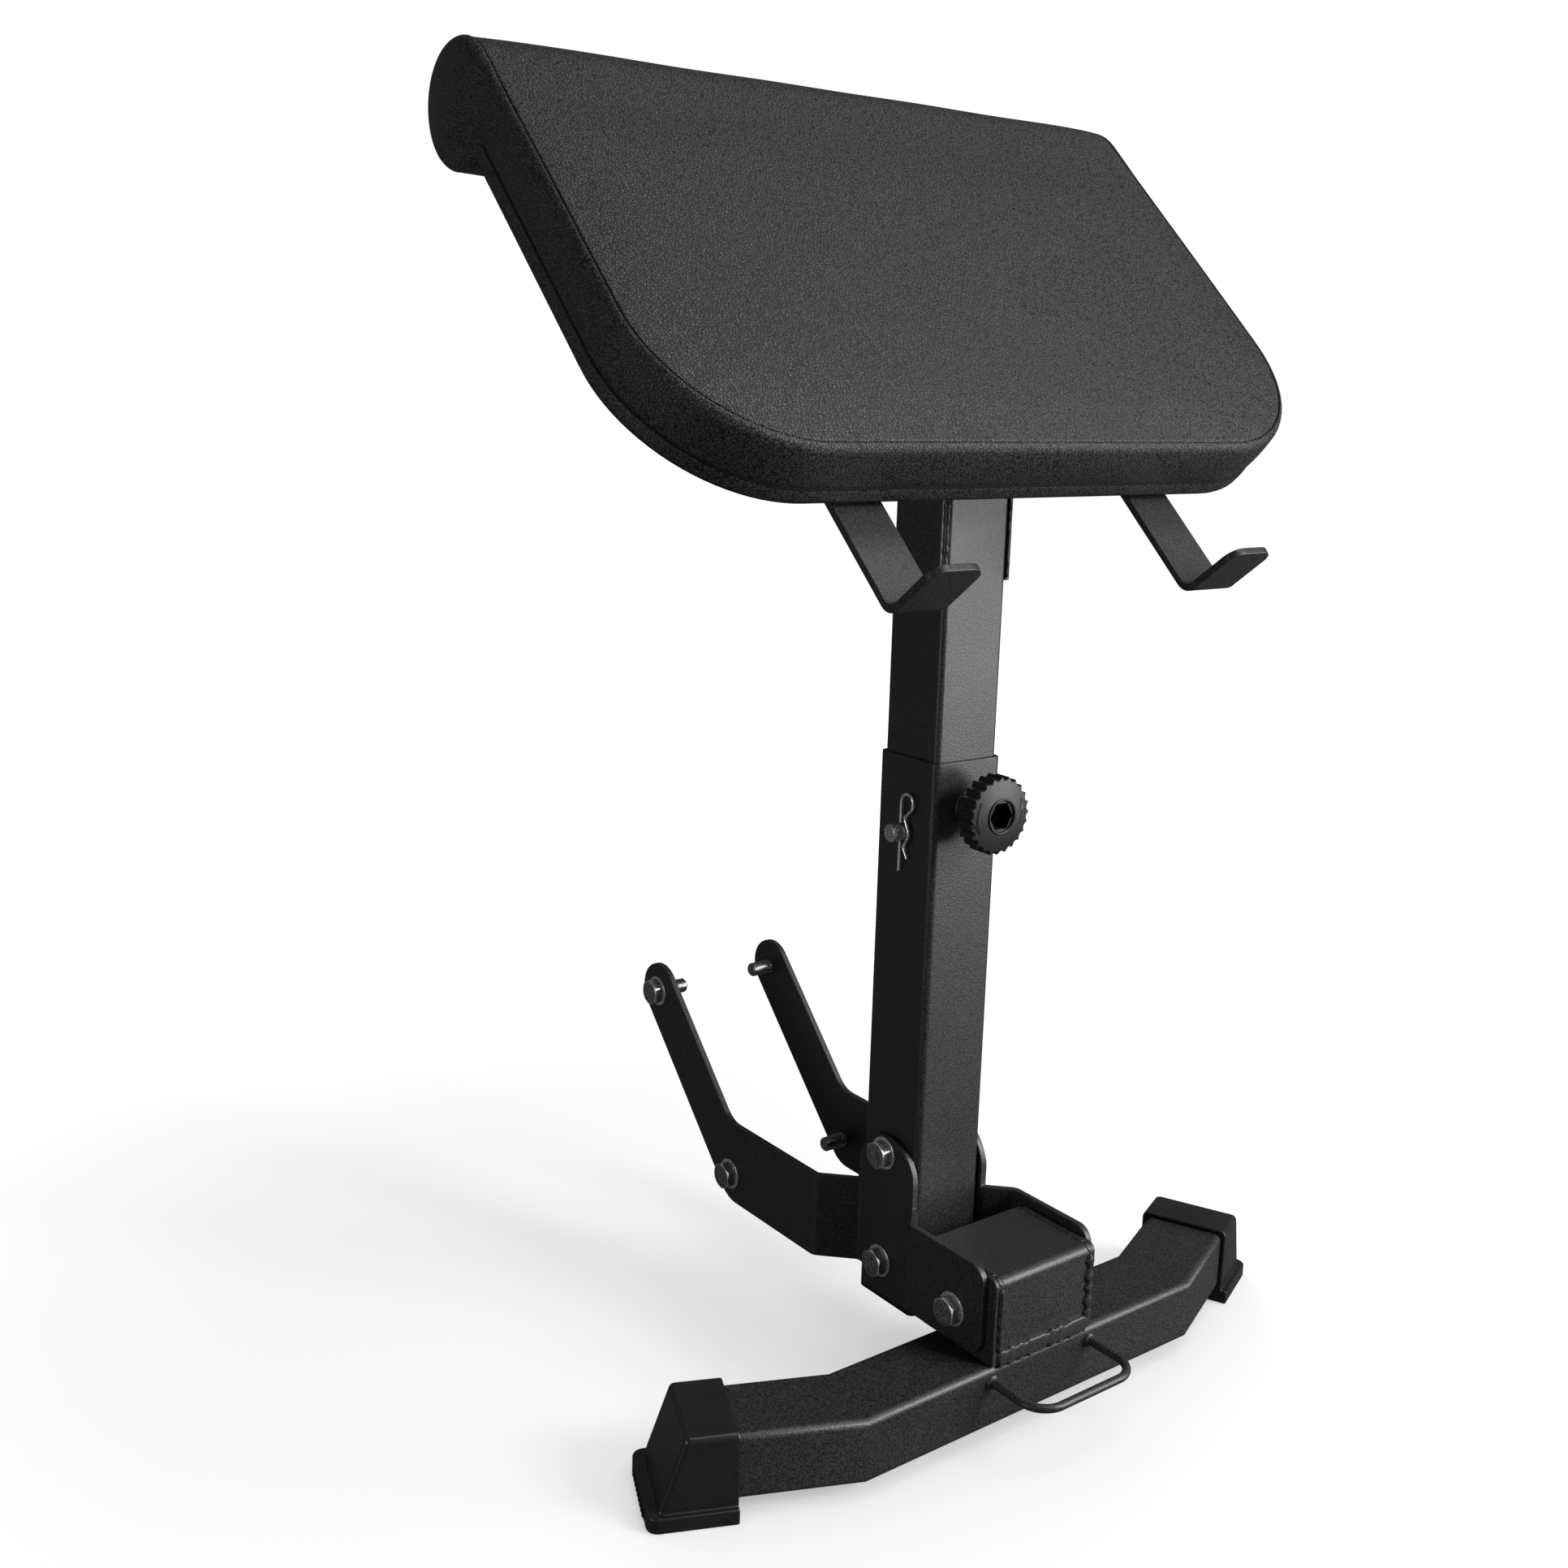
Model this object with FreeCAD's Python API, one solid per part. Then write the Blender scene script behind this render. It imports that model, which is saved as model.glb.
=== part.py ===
import FreeCAD, Part
import math
import os

# Preacher curl stand that bolts to the frame of a flat bench. All lengths are in millimetres.
# X runs across the stand, -Y is the front with the bar hooks, +Y is the bench side, Z is up.
# Every piece is drawn round the post's axis, and the finished pieces move to the origin at the end.

Vec = FreeCAD.Vector

# Telescopic post
OUTER_SIZE = 60.0
OUTER_WALL = 2.0
OUTER_CORNER = 5.0
POST_BOTTOM = 42.0
POST_TOP = 449.0
SLIDE_GAP = 0.5
INNER_WALL = 2.0
INNER_CORNER = 4.0
INNER_BOTTOM = 206.0
PLUG_FLANGE = 3.0
PLUG_DEPTH = 14.0
PLUG_GAP = 0.2

# Height setting: a pin across the post and a row of holes in the inner tube
PIN_D = 13.0
PIN_DROP = 52.5
PIN_TAIL = 14.0
PIN_HEAD_D = 22.0
PIN_HEAD = 5.0
PIN_CHAMFER = 1.2
PIN_FIT = 0.08
PIN_CLEAR = 0.3
HOLE_PITCH = 25.0
HOLE_COUNT = 7

# Spring clip through the tail of the pin
CLIP_WIRE = 3.0
CLIP_STANDOFF = 3.7
CLIP_HOLE_CLEAR = 0.2
CLIP_PIN_GAP = 0.15
CLIP_LEG_BELOW = 21.5
CLIP_LOOP_ABOVE = 21.0
CLIP_LOOP_WIDTH = 12.0
CLIP_LOOP_HEIGHT = 9.5
CLIP_NECK = 3.7
CLIP_NECK_ABOVE = 4.0
CLIP_FLARE = 8.0
CLIP_FLARE_BELOW = 11.5

# Clamp knob on the front of the post
KNOB_DROP = 32.0
KNOB_D = 55.0
KNOB_RIM = 15.5
KNOB_DOME = 2.5
KNOB_BACK_CHAMFER = 2.5
KNOB_SCALLOPS = 24
KNOB_SCALLOP = 1.9
KNOB_HUB_D = 30.0
KNOB_HUB = 6.0
KNOB_HUB_GAP = 1.0
KNOB_RING_D = 26.0
KNOB_RING_WIDTH = 3.6
KNOB_RECESS = 1.2
KNOB_POCKET_AF = 14.5
KNOB_POCKET = 6.0
KNOB_POCKET_FLOOR = 3.0
SCREW_D = 12.0
SCREW_FIT = 0.06
SCREW_TIP_GAP = 0.3
SCREW_END_GAP = 0.3
WELD_NUT_AF = 19.0
WELD_NUT = 10.0

# Plate work round the foot of the post
PLATE = 5.0
BEND_R = 4.0
BASE_WIDTH = 94.0
BASE_DEPTH = 71.0
BASE_HEIGHT = 63.0
COVER = 3.0
COVER_BEND_R = 3.0
SIDE_CORNER = 6.0

# Arms that reach back to the bench
STRIP_LOW = 61.5
STRIP_HIGH = 126.5
STRIP_FRONT = 124.5
STRIP_CORNER = 12.0
LOBE_TOP = 171.0
LOBE_OVERHANG = 2.5
JOGGLE_START = 27.0
ARM_SPREAD = 24.0
ARM_WIDTH = 45.0
ARM_RISE = 46.5
ARM_REACH = 265.0
ARM_HEIGHT = 203.5
LOW_BOLT_REACH = 157.0
LOW_BOLT_HEIGHT = 84.5
KNEE_INNER_R = 22.0
KNEE_OUTER_R = 26.0

# Hexagon bolts
BOLT_D = 12.0
BOLT_THREAD_D = 11.6
BOLT_AF = 18.0
BOLT_HEAD = 7.5
BOLT_HOLE_CLEAR = 0.5
NUT = 10.0
BOLT_PAST_NUT = 4.0
WASHER_D = 24.0
WASHER = 2.0
WASHER_CLEAR = 0.3
POST_BOLT_HIGH = 157.5
POST_BOLT_LOW = 73.0
BASE_BOLT_Y = 97.0
BASE_BOLT_Z = 86.0
STUD_REACH = 20.0

# Foot tube, swept back at both ends, with rubber end caps
FOOT_WIDTH = 60.0
FOOT_HEIGHT = 45.5
FOOT_WALL = 2.5
FOOT_CORNER = 5.0
FOOT_CLEAR = 11.5
FOOT_SETBACK = 102.5
FOOT_SPAN = 293.0
FOOT_SWEEP = 24.0
WING = 105.0
CAP_GRIP = 27.5
CAP_WALL = 3.5
CAP_TOP_LENGTH = 34.5
CAP_SLOPE_RUN = 17.0
CAP_FLANGE = 10.5
CAP_FLANGE_OUT = 7.0
CAP_FLANGE_SIDE = 4.5
CAP_EDGE = 4.5
CAP_FLANGE_CORNER = 8.0
CAP_RIBS = 9
CAP_RIB_PITCH = 5.2
CAP_RIB_WIDTH = 2.4
CAP_RIB_OUT = 1.0

# Wire loop on the front of the foot
LOOP_WIRE = 6.0
LOOP_WIDTH = 93.0
LOOP_REACH = 46.5
LOOP_RISE = 35.0
LOOP_CORNER = 19.0

# Sloping arm pad
PAD_SLOPE = 44.0
PAD_FRONT_Y = -97.0
PAD_FRONT_Z = 663.5
PAD_WIDTH = 563.0
PAD_FLAT = 325.5
PAD_FOAM = 35.0
PAD_BOARD = 13.0
PAD_CORNER = 106.0
PAD_BACK_CORNER = 4.0
PAD_CROWN = 5.0
PAD_CROWN_SIDE = 0.8
PAD_DRAW = 2.0
ROLL_R = 40.0
PAD_SECTIONS = 5

# Head under the pad
HEAD_PLATE = 5.0
HEAD_FRONT = 38.0
HEAD_LENGTH = 92.0
REAR_BAR_FRONT = 212.0
REAR_BAR_LENGTH = 45.0
CHEEK = 4.5
CHEEK_WIDTH = 46.0
CHEEK_FORWARD = 3.0
CHEEK_LENGTH = 110.0

# Bar hooks
HOOK_WIDTH = 40.0
HOOK_SPACING = 259.0
HOOK_PLATE = 5.0
HOOK_BEND = 78.0
HOOK_BEND_R = 6.0
HOOK_LIP = 49.0
HOOK_ANGLE = 97.5
HOOK_LIP_CORNER = 11.0
HOOK_UNDER = 270.0

# Pad fasteners
PAD_BOLT_D = 8.0
PAD_BOLT_AF = 13.0
PAD_BOLT_HEAD = 5.3
PAD_BOLT_SPACING = 150.0
PAD_WASHER_D = 20.0
PAD_WASHER = 1.6
PAD_BOLT_CLEAR = 0.4
TNUT_D = 10.5
TNUT_FLANGE_D = 22.0
TNUT_FLANGE = 1.5

# Places worked out from the sizes above
OUTER_HALF = OUTER_SIZE / 2
INNER_SIZE = OUTER_SIZE - 2 * OUTER_WALL - 2 * SLIDE_GAP
INNER_HALF = INNER_SIZE / 2
PIN_Z = POST_TOP - PIN_DROP
KNOB_Z = POST_TOP - KNOB_DROP
FOOT_TOP = FOOT_CLEAR + FOOT_HEIGHT
FOOT_FRONT = -FOOT_SETBACK - FOOT_WIDTH / 2
BASE_HALF = BASE_WIDTH / 2
BASE_TOP = FOOT_TOP + BASE_HEIGHT
ARM_FACE = OUTER_HALF + PLATE + ARM_SPREAD
ARM_BOLT_HIGH = (ARM_REACH, ARM_HEIGHT)
ARM_BOLT_LOW = (LOW_BOLT_REACH, LOW_BOLT_HEIGHT)
HEAD_TOP = -PAD_FOAM - PAD_BOARD
HEAD_LOW = HEAD_TOP - HEAD_PLATE
LOOP_Z = FOOT_CLEAR + LOOP_RISE
LOOP_FRONT = FOOT_FRONT - LOOP_REACH
ORIGIN_Y = (LOOP_FRONT - LOOP_WIRE / 2 + ARM_REACH + ARM_WIDTH / 2) / 2


def along_x(x):
    """Placer for outlines drawn in (y, z) on the plane at x."""
    return lambda u, v: Vec(x, u, v)


def along_y(y):
    """Placer for outlines drawn in (x, z) on the plane at y."""
    return lambda u, v: Vec(u, y, v)


def along_z(z):
    """Placer for outlines drawn in (x, y) on the plane at z."""
    return lambda u, v: Vec(u, v, z)


def rounded_wire(corners, place, closed=True):
    """Wire through (u, v, radius) corners, each rounded by a tangent arc of its radius."""
    count = len(corners)
    turns = []
    for i, (u, v, radius) in enumerate(corners):
        here = Vec(u, v, 0)
        if radius <= 0 or (not closed and i in (0, count - 1)):
            turns.append((here, None, here))
            continue
        before = corners[i - 1]
        after = corners[(i + 1) % count]
        back = (Vec(before[0], before[1], 0) - here).normalize()
        ahead = (Vec(after[0], after[1], 0) - here).normalize()
        half = back.getAngle(ahead) / 2
        reach = radius / math.tan(half)
        inward = (back + ahead).normalize()
        middle = here + inward * (radius / math.sin(half) - radius)
        turns.append((here + back * reach, middle, here + ahead * reach))
    spot = [[None if p is None else place(p.x, p.y) for p in turn] for turn in turns]
    edges = []
    for i in range(count):
        start, middle, end = spot[i]
        if middle is not None:
            edges.append(Part.Arc(start, middle, end).toShape())
        if closed or i < count - 1:
            following = spot[(i + 1) % count][0]
            if end.distanceToPoint(following) > 1e-6:
                edges.append(Part.LineSegment(end, following).toShape())
    return Part.Wire(edges)


def rounded_plate(corners, place, travel):
    """Solid of a rounded outline, drawn out along travel."""
    return Part.Face(rounded_wire(corners, place)).extrude(travel)


def rectangle(low, high, radius):
    """Corners of an upright rectangle with one radius all round."""
    return [
        (low[0], low[1], radius),
        (high[0], low[1], radius),
        (high[0], high[1], radius),
        (low[0], high[1], radius),
    ]


def strip_corners(points, inner_radius, thickness):
    """Corners of a bent strip of sheet round the middle line through points."""
    sides = ([], [])
    count = len(points)
    for i, (u, v) in enumerate(points):
        here = Vec(u, v, 0)
        into = here - Vec(*points[i - 1], 0) if i else Vec(*points[1], 0) - here
        out = Vec(*points[i + 1], 0) - here if i < count - 1 else into
        into.normalize()
        out.normalize()
        normal = (Vec(-into.y, into.x, 0) + Vec(-out.y, out.x, 0)).normalize()
        offset = thickness / 2 / normal.dot(Vec(-into.y, into.x, 0))
        turn = into.x * out.y - into.y * out.x
        for side, corners in zip((1, -1), sides):
            radius = 0.0
            if abs(turn) > 1e-9:
                radius = inner_radius if turn * side > 0 else inner_radius + thickness
            spot = here + normal * (side * offset)
            corners.append((spot.x, spot.y, radius))
    return sides[0] + sides[1][::-1]


def square_tube(width, depth, wall, corner, low, high):
    """Upright tube of rounded rectangular section."""
    outer = rectangle((-width / 2, -depth / 2), (width / 2, depth / 2), corner)
    inner_half = (width / 2 - wall, depth / 2 - wall)
    inner = rectangle((-inner_half[0], -inner_half[1]), inner_half, max(corner - wall, wall / 4))
    travel = Vec(0, 0, high - low)
    body = rounded_plate(outer, along_z(low), travel)
    return body.cut(rounded_plate(inner, along_z(low), travel))


def cylinder_x(diameter, start, end, y, z):
    """Round bar along X between two places."""
    return Part.makeCylinder(diameter / 2, end - start, Vec(start, y, z), Vec(1, 0, 0))


def cylinder_y(diameter, start, end, x, z):
    """Round bar along Y between two places."""
    return Part.makeCylinder(diameter / 2, end - start, Vec(x, start, z), Vec(0, 1, 0))


def cylinder_z(diameter, start, end, x, y):
    """Round bar along Z between two places."""
    return Part.makeCylinder(diameter / 2, end - start, Vec(x, y, start), Vec(0, 0, 1))


def mirrored(shape):
    """The same piece on the other side of the stand."""
    return shape.mirror(Vec(0, 0, 0), Vec(1, 0, 0))


def rod(corners, place, diameter, start, tangent):
    """Round wire bent along rounded corners, from a start point with a given direction."""
    path = rounded_wire(corners, place, closed=False)
    section = Part.Wire(Part.makeCircle(diameter / 2, start, tangent))
    return path.makePipeShell([section], True, True)


def hexagon(across_flats, low, high):
    """Hexagonal prism on the Z axis, with its far corners chamfered."""
    radius = across_flats / math.sqrt(3)
    corners = []
    for i in range(6):
        angle = math.radians(60 * i)
        corners.append((radius * math.cos(angle), radius * math.sin(angle), 0))
    prism = rounded_plate(corners, along_z(low), Vec(0, 0, high - low))
    rim = radius - across_flats / 2
    drum = Part.makeCylinder(radius, high - low, Vec(0, 0, low))
    top = [edge for edge in drum.Edges if abs(edge.BoundBox.ZMin - high) < 1e-6]
    return prism.common(drum.makeChamfer(rim, top))


def ring(outer, inner, low, high):
    """Flat washer on the Z axis."""
    return cylinder_z(outer, low, high, 0, 0).cut(cylinder_z(inner, low, high, 0, 0))


def turned_to_x(shape, x, y, z, outward):
    """A fastener drawn up the Z axis, laid along X with its top pointing outward."""
    turn = FreeCAD.Rotation(Vec(0, 1, 0), 90 if outward > 0 else -90)
    placed = shape.copy()
    placed.Placement = FreeCAD.Placement(Vec(x, y, z), turn)
    return placed


def hex_bolt(diameter, thread, across_flats, head, grip, reach):
    """Bolt on the Z axis, seated at z = 0: head above, plain shank through the grip, then thread."""
    shank = cylinder_z(diameter, -grip, 0, 0, 0)
    end = cylinder_z(thread, -grip - reach, -grip, 0, 0)
    tip = [edge for edge in end.Edges if abs(edge.BoundBox.ZMax + grip + reach) < 1e-6]
    end = end.makeChamfer(thread / 10, tip)
    return hexagon(across_flats, 0, head).fuse([shank, end]).removeSplitter()


def hex_nut(bore, across_flats, height):
    """Nut on the Z axis, with its seat at z = 0."""
    return hexagon(across_flats, 0, height).cut(cylinder_z(bore, 0, height, 0, 0))


def on_slope(shape):
    """A piece drawn with Y up the slope and Z square to it, put on the pad's slope."""
    placed = shape.copy()
    turn = FreeCAD.Rotation(Vec(1, 0, 0), PAD_SLOPE)
    placed.Placement = FreeCAD.Placement(Vec(0, PAD_FRONT_Y, PAD_FRONT_Z), turn)
    return placed


def above_head():
    """Everything above the underside of the head plate."""
    size = 4 * PAD_WIDTH
    return on_slope(Part.makeBox(size, size, size, Vec(-size / 2, -size / 2, HEAD_LOW)))


def end_plug(size, wall, corner, end, into):
    """Plastic plug in the end of a square tube: a cover on the end and a shorter spigot in the bore."""
    half = size / 2
    cover = rectangle((-half, -half), (half, half), corner)
    bore_half = half - wall - PLUG_GAP
    spigot = rectangle((-bore_half, -bore_half), (bore_half, bore_half), max(corner - wall, wall / 4))
    body = rounded_plate(cover, along_z(end), Vec(0, 0, -into * PLUG_FLANGE))
    return body.fuse(rounded_plate(spigot, along_z(end), Vec(0, 0, into * PLUG_DEPTH)))


def make_outer_post():
    """Fixed tube, cross-drilled for the arms' bolts and the pin, and in front for the clamp screw."""
    post = square_tube(OUTER_SIZE, OUTER_SIZE, OUTER_WALL, OUTER_CORNER, POST_BOTTOM, POST_TOP)
    for z in (POST_BOLT_LOW, POST_BOLT_HIGH):
        post = post.cut(cylinder_x(BOLT_D + 2 * BOLT_HOLE_CLEAR, -OUTER_SIZE, OUTER_SIZE, 0, z))
    post = post.cut(cylinder_x(PIN_D + 2 * PIN_FIT, -OUTER_SIZE, OUTER_SIZE, 0, PIN_Z))
    return post.cut(cylinder_y(SCREW_D + 2 * BOLT_HOLE_CLEAR, -OUTER_SIZE, 0, 0, KNOB_Z))


def make_inner_post():
    """Sliding tube with its row of holes, cut to the pad's slope at the top."""
    tube = square_tube(INNER_SIZE, INNER_SIZE, INNER_WALL, INNER_CORNER, INNER_BOTTOM, 2 * PAD_FRONT_Z)
    tube = tube.cut(above_head())
    for i in range(HOLE_COUNT):
        z = PIN_Z - i * HOLE_PITCH
        tube = tube.cut(cylinder_x(PIN_D + 2 * PIN_CLEAR, -INNER_SIZE, INNER_SIZE, 0, z))
    return tube


def make_lock_pin():
    """Cross pin with a flat head on the right and a small cross hole in its tail."""
    tail = -OUTER_HALF - PIN_TAIL
    shank = cylinder_x(PIN_D, tail, OUTER_HALF, 0, PIN_Z)
    end = [edge for edge in shank.Edges if abs(edge.BoundBox.XMax - tail) < 1e-6]
    shank = shank.makeChamfer(PIN_CHAMFER, end)
    head = cylinder_x(PIN_HEAD_D, OUTER_HALF, OUTER_HALF + PIN_HEAD, 0, PIN_Z)
    rim = [edge for edge in head.Edges if abs(edge.BoundBox.XMin - OUTER_HALF - PIN_HEAD) < 1e-6]
    pin = shank.fuse(head.makeFillet(PIN_HEAD / 4, rim)).removeSplitter()
    hole = CLIP_WIRE + 2 * CLIP_HOLE_CLEAR
    return pin.cut(cylinder_z(hole, PIN_Z - PIN_D, PIN_Z + PIN_D, -OUTER_HALF - CLIP_STANDOFF, 0))


def clearing_corner(neck, rise, radius):
    """Reach of a corner level with a circle's centre, whose side from the neck just clears it."""
    spare = rise**2 - radius**2
    pull = neck * radius**2
    return (math.sqrt(pull**2 + spare * radius**2 * (neck**2 + rise**2)) - pull) / spare


def make_r_clip():
    """Spring clip: a straight leg down through the pin and a wavy leg round the front of it."""
    x = -OUTER_HALF - CLIP_STANDOFF
    over = PIN_D / 2
    neck = over + CLIP_NECK_ABOVE
    loop_top = PIN_Z + over + CLIP_LOOP_ABOVE
    leg_end = PIN_Z - over - CLIP_LEG_BELOW
    bump = clearing_corner(CLIP_NECK, neck, over + CLIP_WIRE / 2 + CLIP_PIN_GAP)
    corners = [
        (0, leg_end, 0),
        (0, loop_top, CLIP_LOOP_WIDTH / 2),
        (-CLIP_LOOP_WIDTH, loop_top, CLIP_LOOP_WIDTH / 2 - CLIP_WIRE / 4),
        (-CLIP_LOOP_WIDTH, loop_top - CLIP_LOOP_HEIGHT, CLIP_LOOP_WIDTH / 3),
        (-CLIP_NECK, PIN_Z + neck, CLIP_WIRE),
        (-bump, PIN_Z, over),
        (-CLIP_NECK, PIN_Z - neck, CLIP_WIRE),
        (-CLIP_FLARE, PIN_Z - over - CLIP_FLARE_BELOW, 0),
    ]
    return rod(corners, along_x(x), CLIP_WIRE, Vec(x, 0, leg_end), Vec(0, 0, 1))


def make_weld_nut():
    """Hexagon nut on the front of the post, round the clamp screw."""
    nut = hex_nut(SCREW_D + 2 * SCREW_FIT, WELD_NUT_AF, WELD_NUT)
    nut.Placement = FreeCAD.Placement(Vec(0, -OUTER_HALF, KNOB_Z), FreeCAD.Rotation(Vec(1, 0, 0), 90))
    return nut


def knob_back():
    """Place along Y of the back of the knob's hub."""
    return -OUTER_HALF - WELD_NUT - KNOB_HUB_GAP


def knob_bore():
    """Depth of the screw's hole in the back of the knob, which leaves a floor under the pocket."""
    return KNOB_HUB + KNOB_RIM + KNOB_DOME - KNOB_RECESS - KNOB_POCKET - KNOB_POCKET_FLOOR


def make_clamp_screw():
    """Plain screw that runs from inside the knob to the face of the inner tube."""
    tip = -INNER_HALF - SCREW_TIP_GAP
    screw = cylinder_y(SCREW_D, knob_back() - knob_bore() + SCREW_END_GAP, tip, 0, KNOB_Z)
    end = [edge for edge in screw.Edges if abs(edge.BoundBox.YMin - tip) < 1e-6]
    return screw.makeChamfer(SCREW_D / 12, end)


def scalloped_wire(place):
    """Rim of the knob: hollow arcs between points, all round."""
    radius = KNOB_D / 2
    step = 2 * math.pi / KNOB_SCALLOPS
    edges = []
    for i in range(KNOB_SCALLOPS):
        spots = []
        for turn, reach in ((i, radius), (i + 0.5, radius - KNOB_SCALLOP), (i + 1, radius)):
            spots.append(place(reach * math.cos(turn * step), reach * math.sin(turn * step)))
        edges.append(Part.Arc(*spots).toShape())
    return Part.Wire(edges)


def make_knob():
    """Round moulded knob: scalloped rim, domed face, and a round ring about a hexagon pocket."""
    radius = KNOB_D / 2
    face = KNOB_HUB + KNOB_RIM
    crest = face + KNOB_DOME
    rim = Part.Face(scalloped_wire(along_z(KNOB_HUB))).extrude(Vec(0, 0, crest - KNOB_HUB))
    dome_r = (radius**2 + KNOB_DOME**2) / (2 * KNOB_DOME)
    rim = rim.common(Part.makeSphere(dome_r, Vec(0, 0, crest - dome_r)))
    skirt = Part.makeCone(radius - KNOB_BACK_CHAMFER, radius + crest, crest + KNOB_BACK_CHAMFER)
    skirt.translate(Vec(0, 0, KNOB_HUB))
    rim = rim.common(skirt)
    lip = KNOB_RING_WIDTH / 2
    collar = Part.makeTorus(KNOB_RING_D / 2, lip, Vec(0, 0, crest - lip / 2))
    knob = rim.fuse([collar, cylinder_z(KNOB_HUB_D, 0, KNOB_HUB, 0, 0)])
    floor = crest - KNOB_RECESS
    knob = knob.cut(cylinder_z(KNOB_RING_D - KNOB_RING_WIDTH, floor, crest + lip, 0, 0))
    knob = knob.cut(hexagon(KNOB_POCKET_AF, floor - KNOB_POCKET, crest + KNOB_POCKET_AF))
    knob = knob.cut(cylinder_z(SCREW_D + 2 * SCREW_FIT, 0, knob_bore(), 0, 0))
    knob.Placement = FreeCAD.Placement(Vec(0, knob_back(), KNOB_Z), FreeCAD.Rotation(Vec(1, 0, 0), 90))
    return knob


def foot_path(place):
    """Middle line of the foot tube: straight across, then swept back at both ends."""
    turn = math.radians(FOOT_SWEEP)
    bend = FOOT_SPAN / 2
    tip = (bend + WING * math.cos(turn), -FOOT_SETBACK + WING * math.sin(turn))
    points = [(-tip[0], tip[1]), (-bend, -FOOT_SETBACK), (bend, -FOOT_SETBACK), tip]
    return rounded_wire([(u, v, 0) for u, v in points], place, closed=False)


def foot_sweep(width, height, corner):
    """Solid swept along the foot's middle line with mitred bends."""
    z = FOOT_CLEAR + FOOT_HEIGHT / 2
    path = foot_path(along_z(z))
    start = path.OrderedVertexes[0].Point
    turn = math.radians(FOOT_SWEEP)
    across = Vec(math.sin(turn), math.cos(turn), 0)
    corners = rectangle((-width / 2, -height / 2), (width / 2, height / 2), corner)
    section = rounded_wire(corners, lambda u, v: start + across * u + Vec(0, 0, v))
    shell = Part.BRepOffsetAPI.MakePipeShell(path)
    shell.setTransitionMode(1)
    shell.add(section, False, False)
    shell.build()
    shell.makeSolid()
    return shell.shape()


def make_foot_tube():
    """Rectangular foot tube with mitred, swept-back wings."""
    bore = max(FOOT_CORNER - FOOT_WALL, FOOT_WALL / 4)
    inside = foot_sweep(FOOT_WIDTH - 2 * FOOT_WALL, FOOT_HEIGHT - 2 * FOOT_WALL, bore)
    return foot_sweep(FOOT_WIDTH, FOOT_HEIGHT, FOOT_CORNER).cut(inside)


def make_right_foot_cap():
    """Rubber boot over a wing's end: a collar, a sloping end and a foot flange with a ribbed edge."""
    start = WING - CAP_GRIP
    top = FOOT_TOP + CAP_WALL
    half = FOOT_WIDTH / 2 + CAP_WALL
    low_end = start + CAP_TOP_LENGTH + CAP_SLOPE_RUN
    flange_end = low_end + CAP_FLANGE_OUT
    flange_half = half + CAP_FLANGE_SIDE
    outline = [
        (start, 0, 0),
        (low_end, 0, 0),
        (low_end, CAP_FLANGE, 0),
        (start + CAP_TOP_LENGTH, top, 0),
        (start, top, 0),
    ]
    body = rounded_plate(outline, along_y(-half), Vec(0, 2 * half, 0))
    soft = []
    for edge in body.Edges:
        box = edge.BoundBox
        on_top = box.ZMin > top - 1e-6 and box.XMax > start + 1e-6
        on_slope_edge = box.ZMin > CAP_FLANGE - 1e-6 and box.ZLength > 1e-6 and box.XMin > start + 1e-6
        if on_top or on_slope_edge:
            soft.append(edge)
    body = body.makeFillet(CAP_EDGE, soft)
    corners = rectangle((start, -flange_half), (flange_end, flange_half), 0)
    corners[1] = (flange_end, -flange_half, CAP_FLANGE_CORNER)
    corners[2] = (flange_end, flange_half, CAP_FLANGE_CORNER)
    flange = rounded_plate(corners, along_z(0), Vec(0, 0, CAP_FLANGE))
    ribs = []
    for i in range(CAP_RIBS):
        y = (i - (CAP_RIBS - 1) / 2) * CAP_RIB_PITCH
        corner = Vec(flange_end - CAP_RIB_OUT, y - CAP_RIB_WIDTH / 2, CAP_FLANGE / 5)
        ribs.append(Part.makeBox(2 * CAP_RIB_OUT, CAP_RIB_WIDTH, 3 * CAP_FLANGE / 5, corner))
    cap = body.fuse([flange] + ribs).removeSplitter()
    bore = rectangle((-FOOT_WIDTH / 2, FOOT_CLEAR), (FOOT_WIDTH / 2, FOOT_TOP), FOOT_CORNER)
    seat = rounded_wire(bore, lambda u, v: Vec(0, u, v))
    cap = cap.cut(Part.Face(seat).extrude(Vec(WING, 0, 0)))
    turn = FreeCAD.Rotation(Vec(0, 0, 1), FOOT_SWEEP)
    cap.Placement = FreeCAD.Placement(Vec(FOOT_SPAN / 2, -FOOT_SETBACK, 0), turn)
    return cap


def make_foot_loop():
    """Bent wire loop welded to the front of the foot tube."""
    half = LOOP_WIDTH / 2
    corners = [
        (-half, FOOT_FRONT, 0),
        (-half, LOOP_FRONT, LOOP_CORNER),
        (half, LOOP_FRONT, LOOP_CORNER),
        (half, FOOT_FRONT, 0),
    ]
    return rod(corners, along_z(LOOP_Z), LOOP_WIRE, Vec(-half, FOOT_FRONT, LOOP_Z), Vec(0, -1, 0))


def make_right_side_plate():
    """Upright cheek of the base box, drilled for the base bolt."""
    back = FOOT_FRONT + BASE_DEPTH
    corners = [
        (FOOT_FRONT, FOOT_TOP, 0),
        (back, FOOT_TOP, 0),
        (back, BASE_TOP, SIDE_CORNER),
        (FOOT_FRONT, BASE_TOP, SIDE_CORNER),
    ]
    plate = rounded_plate(corners, along_x(BASE_HALF - PLATE), Vec(PLATE, 0, 0))
    return plate.cut(base_bolt_hole())


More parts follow.
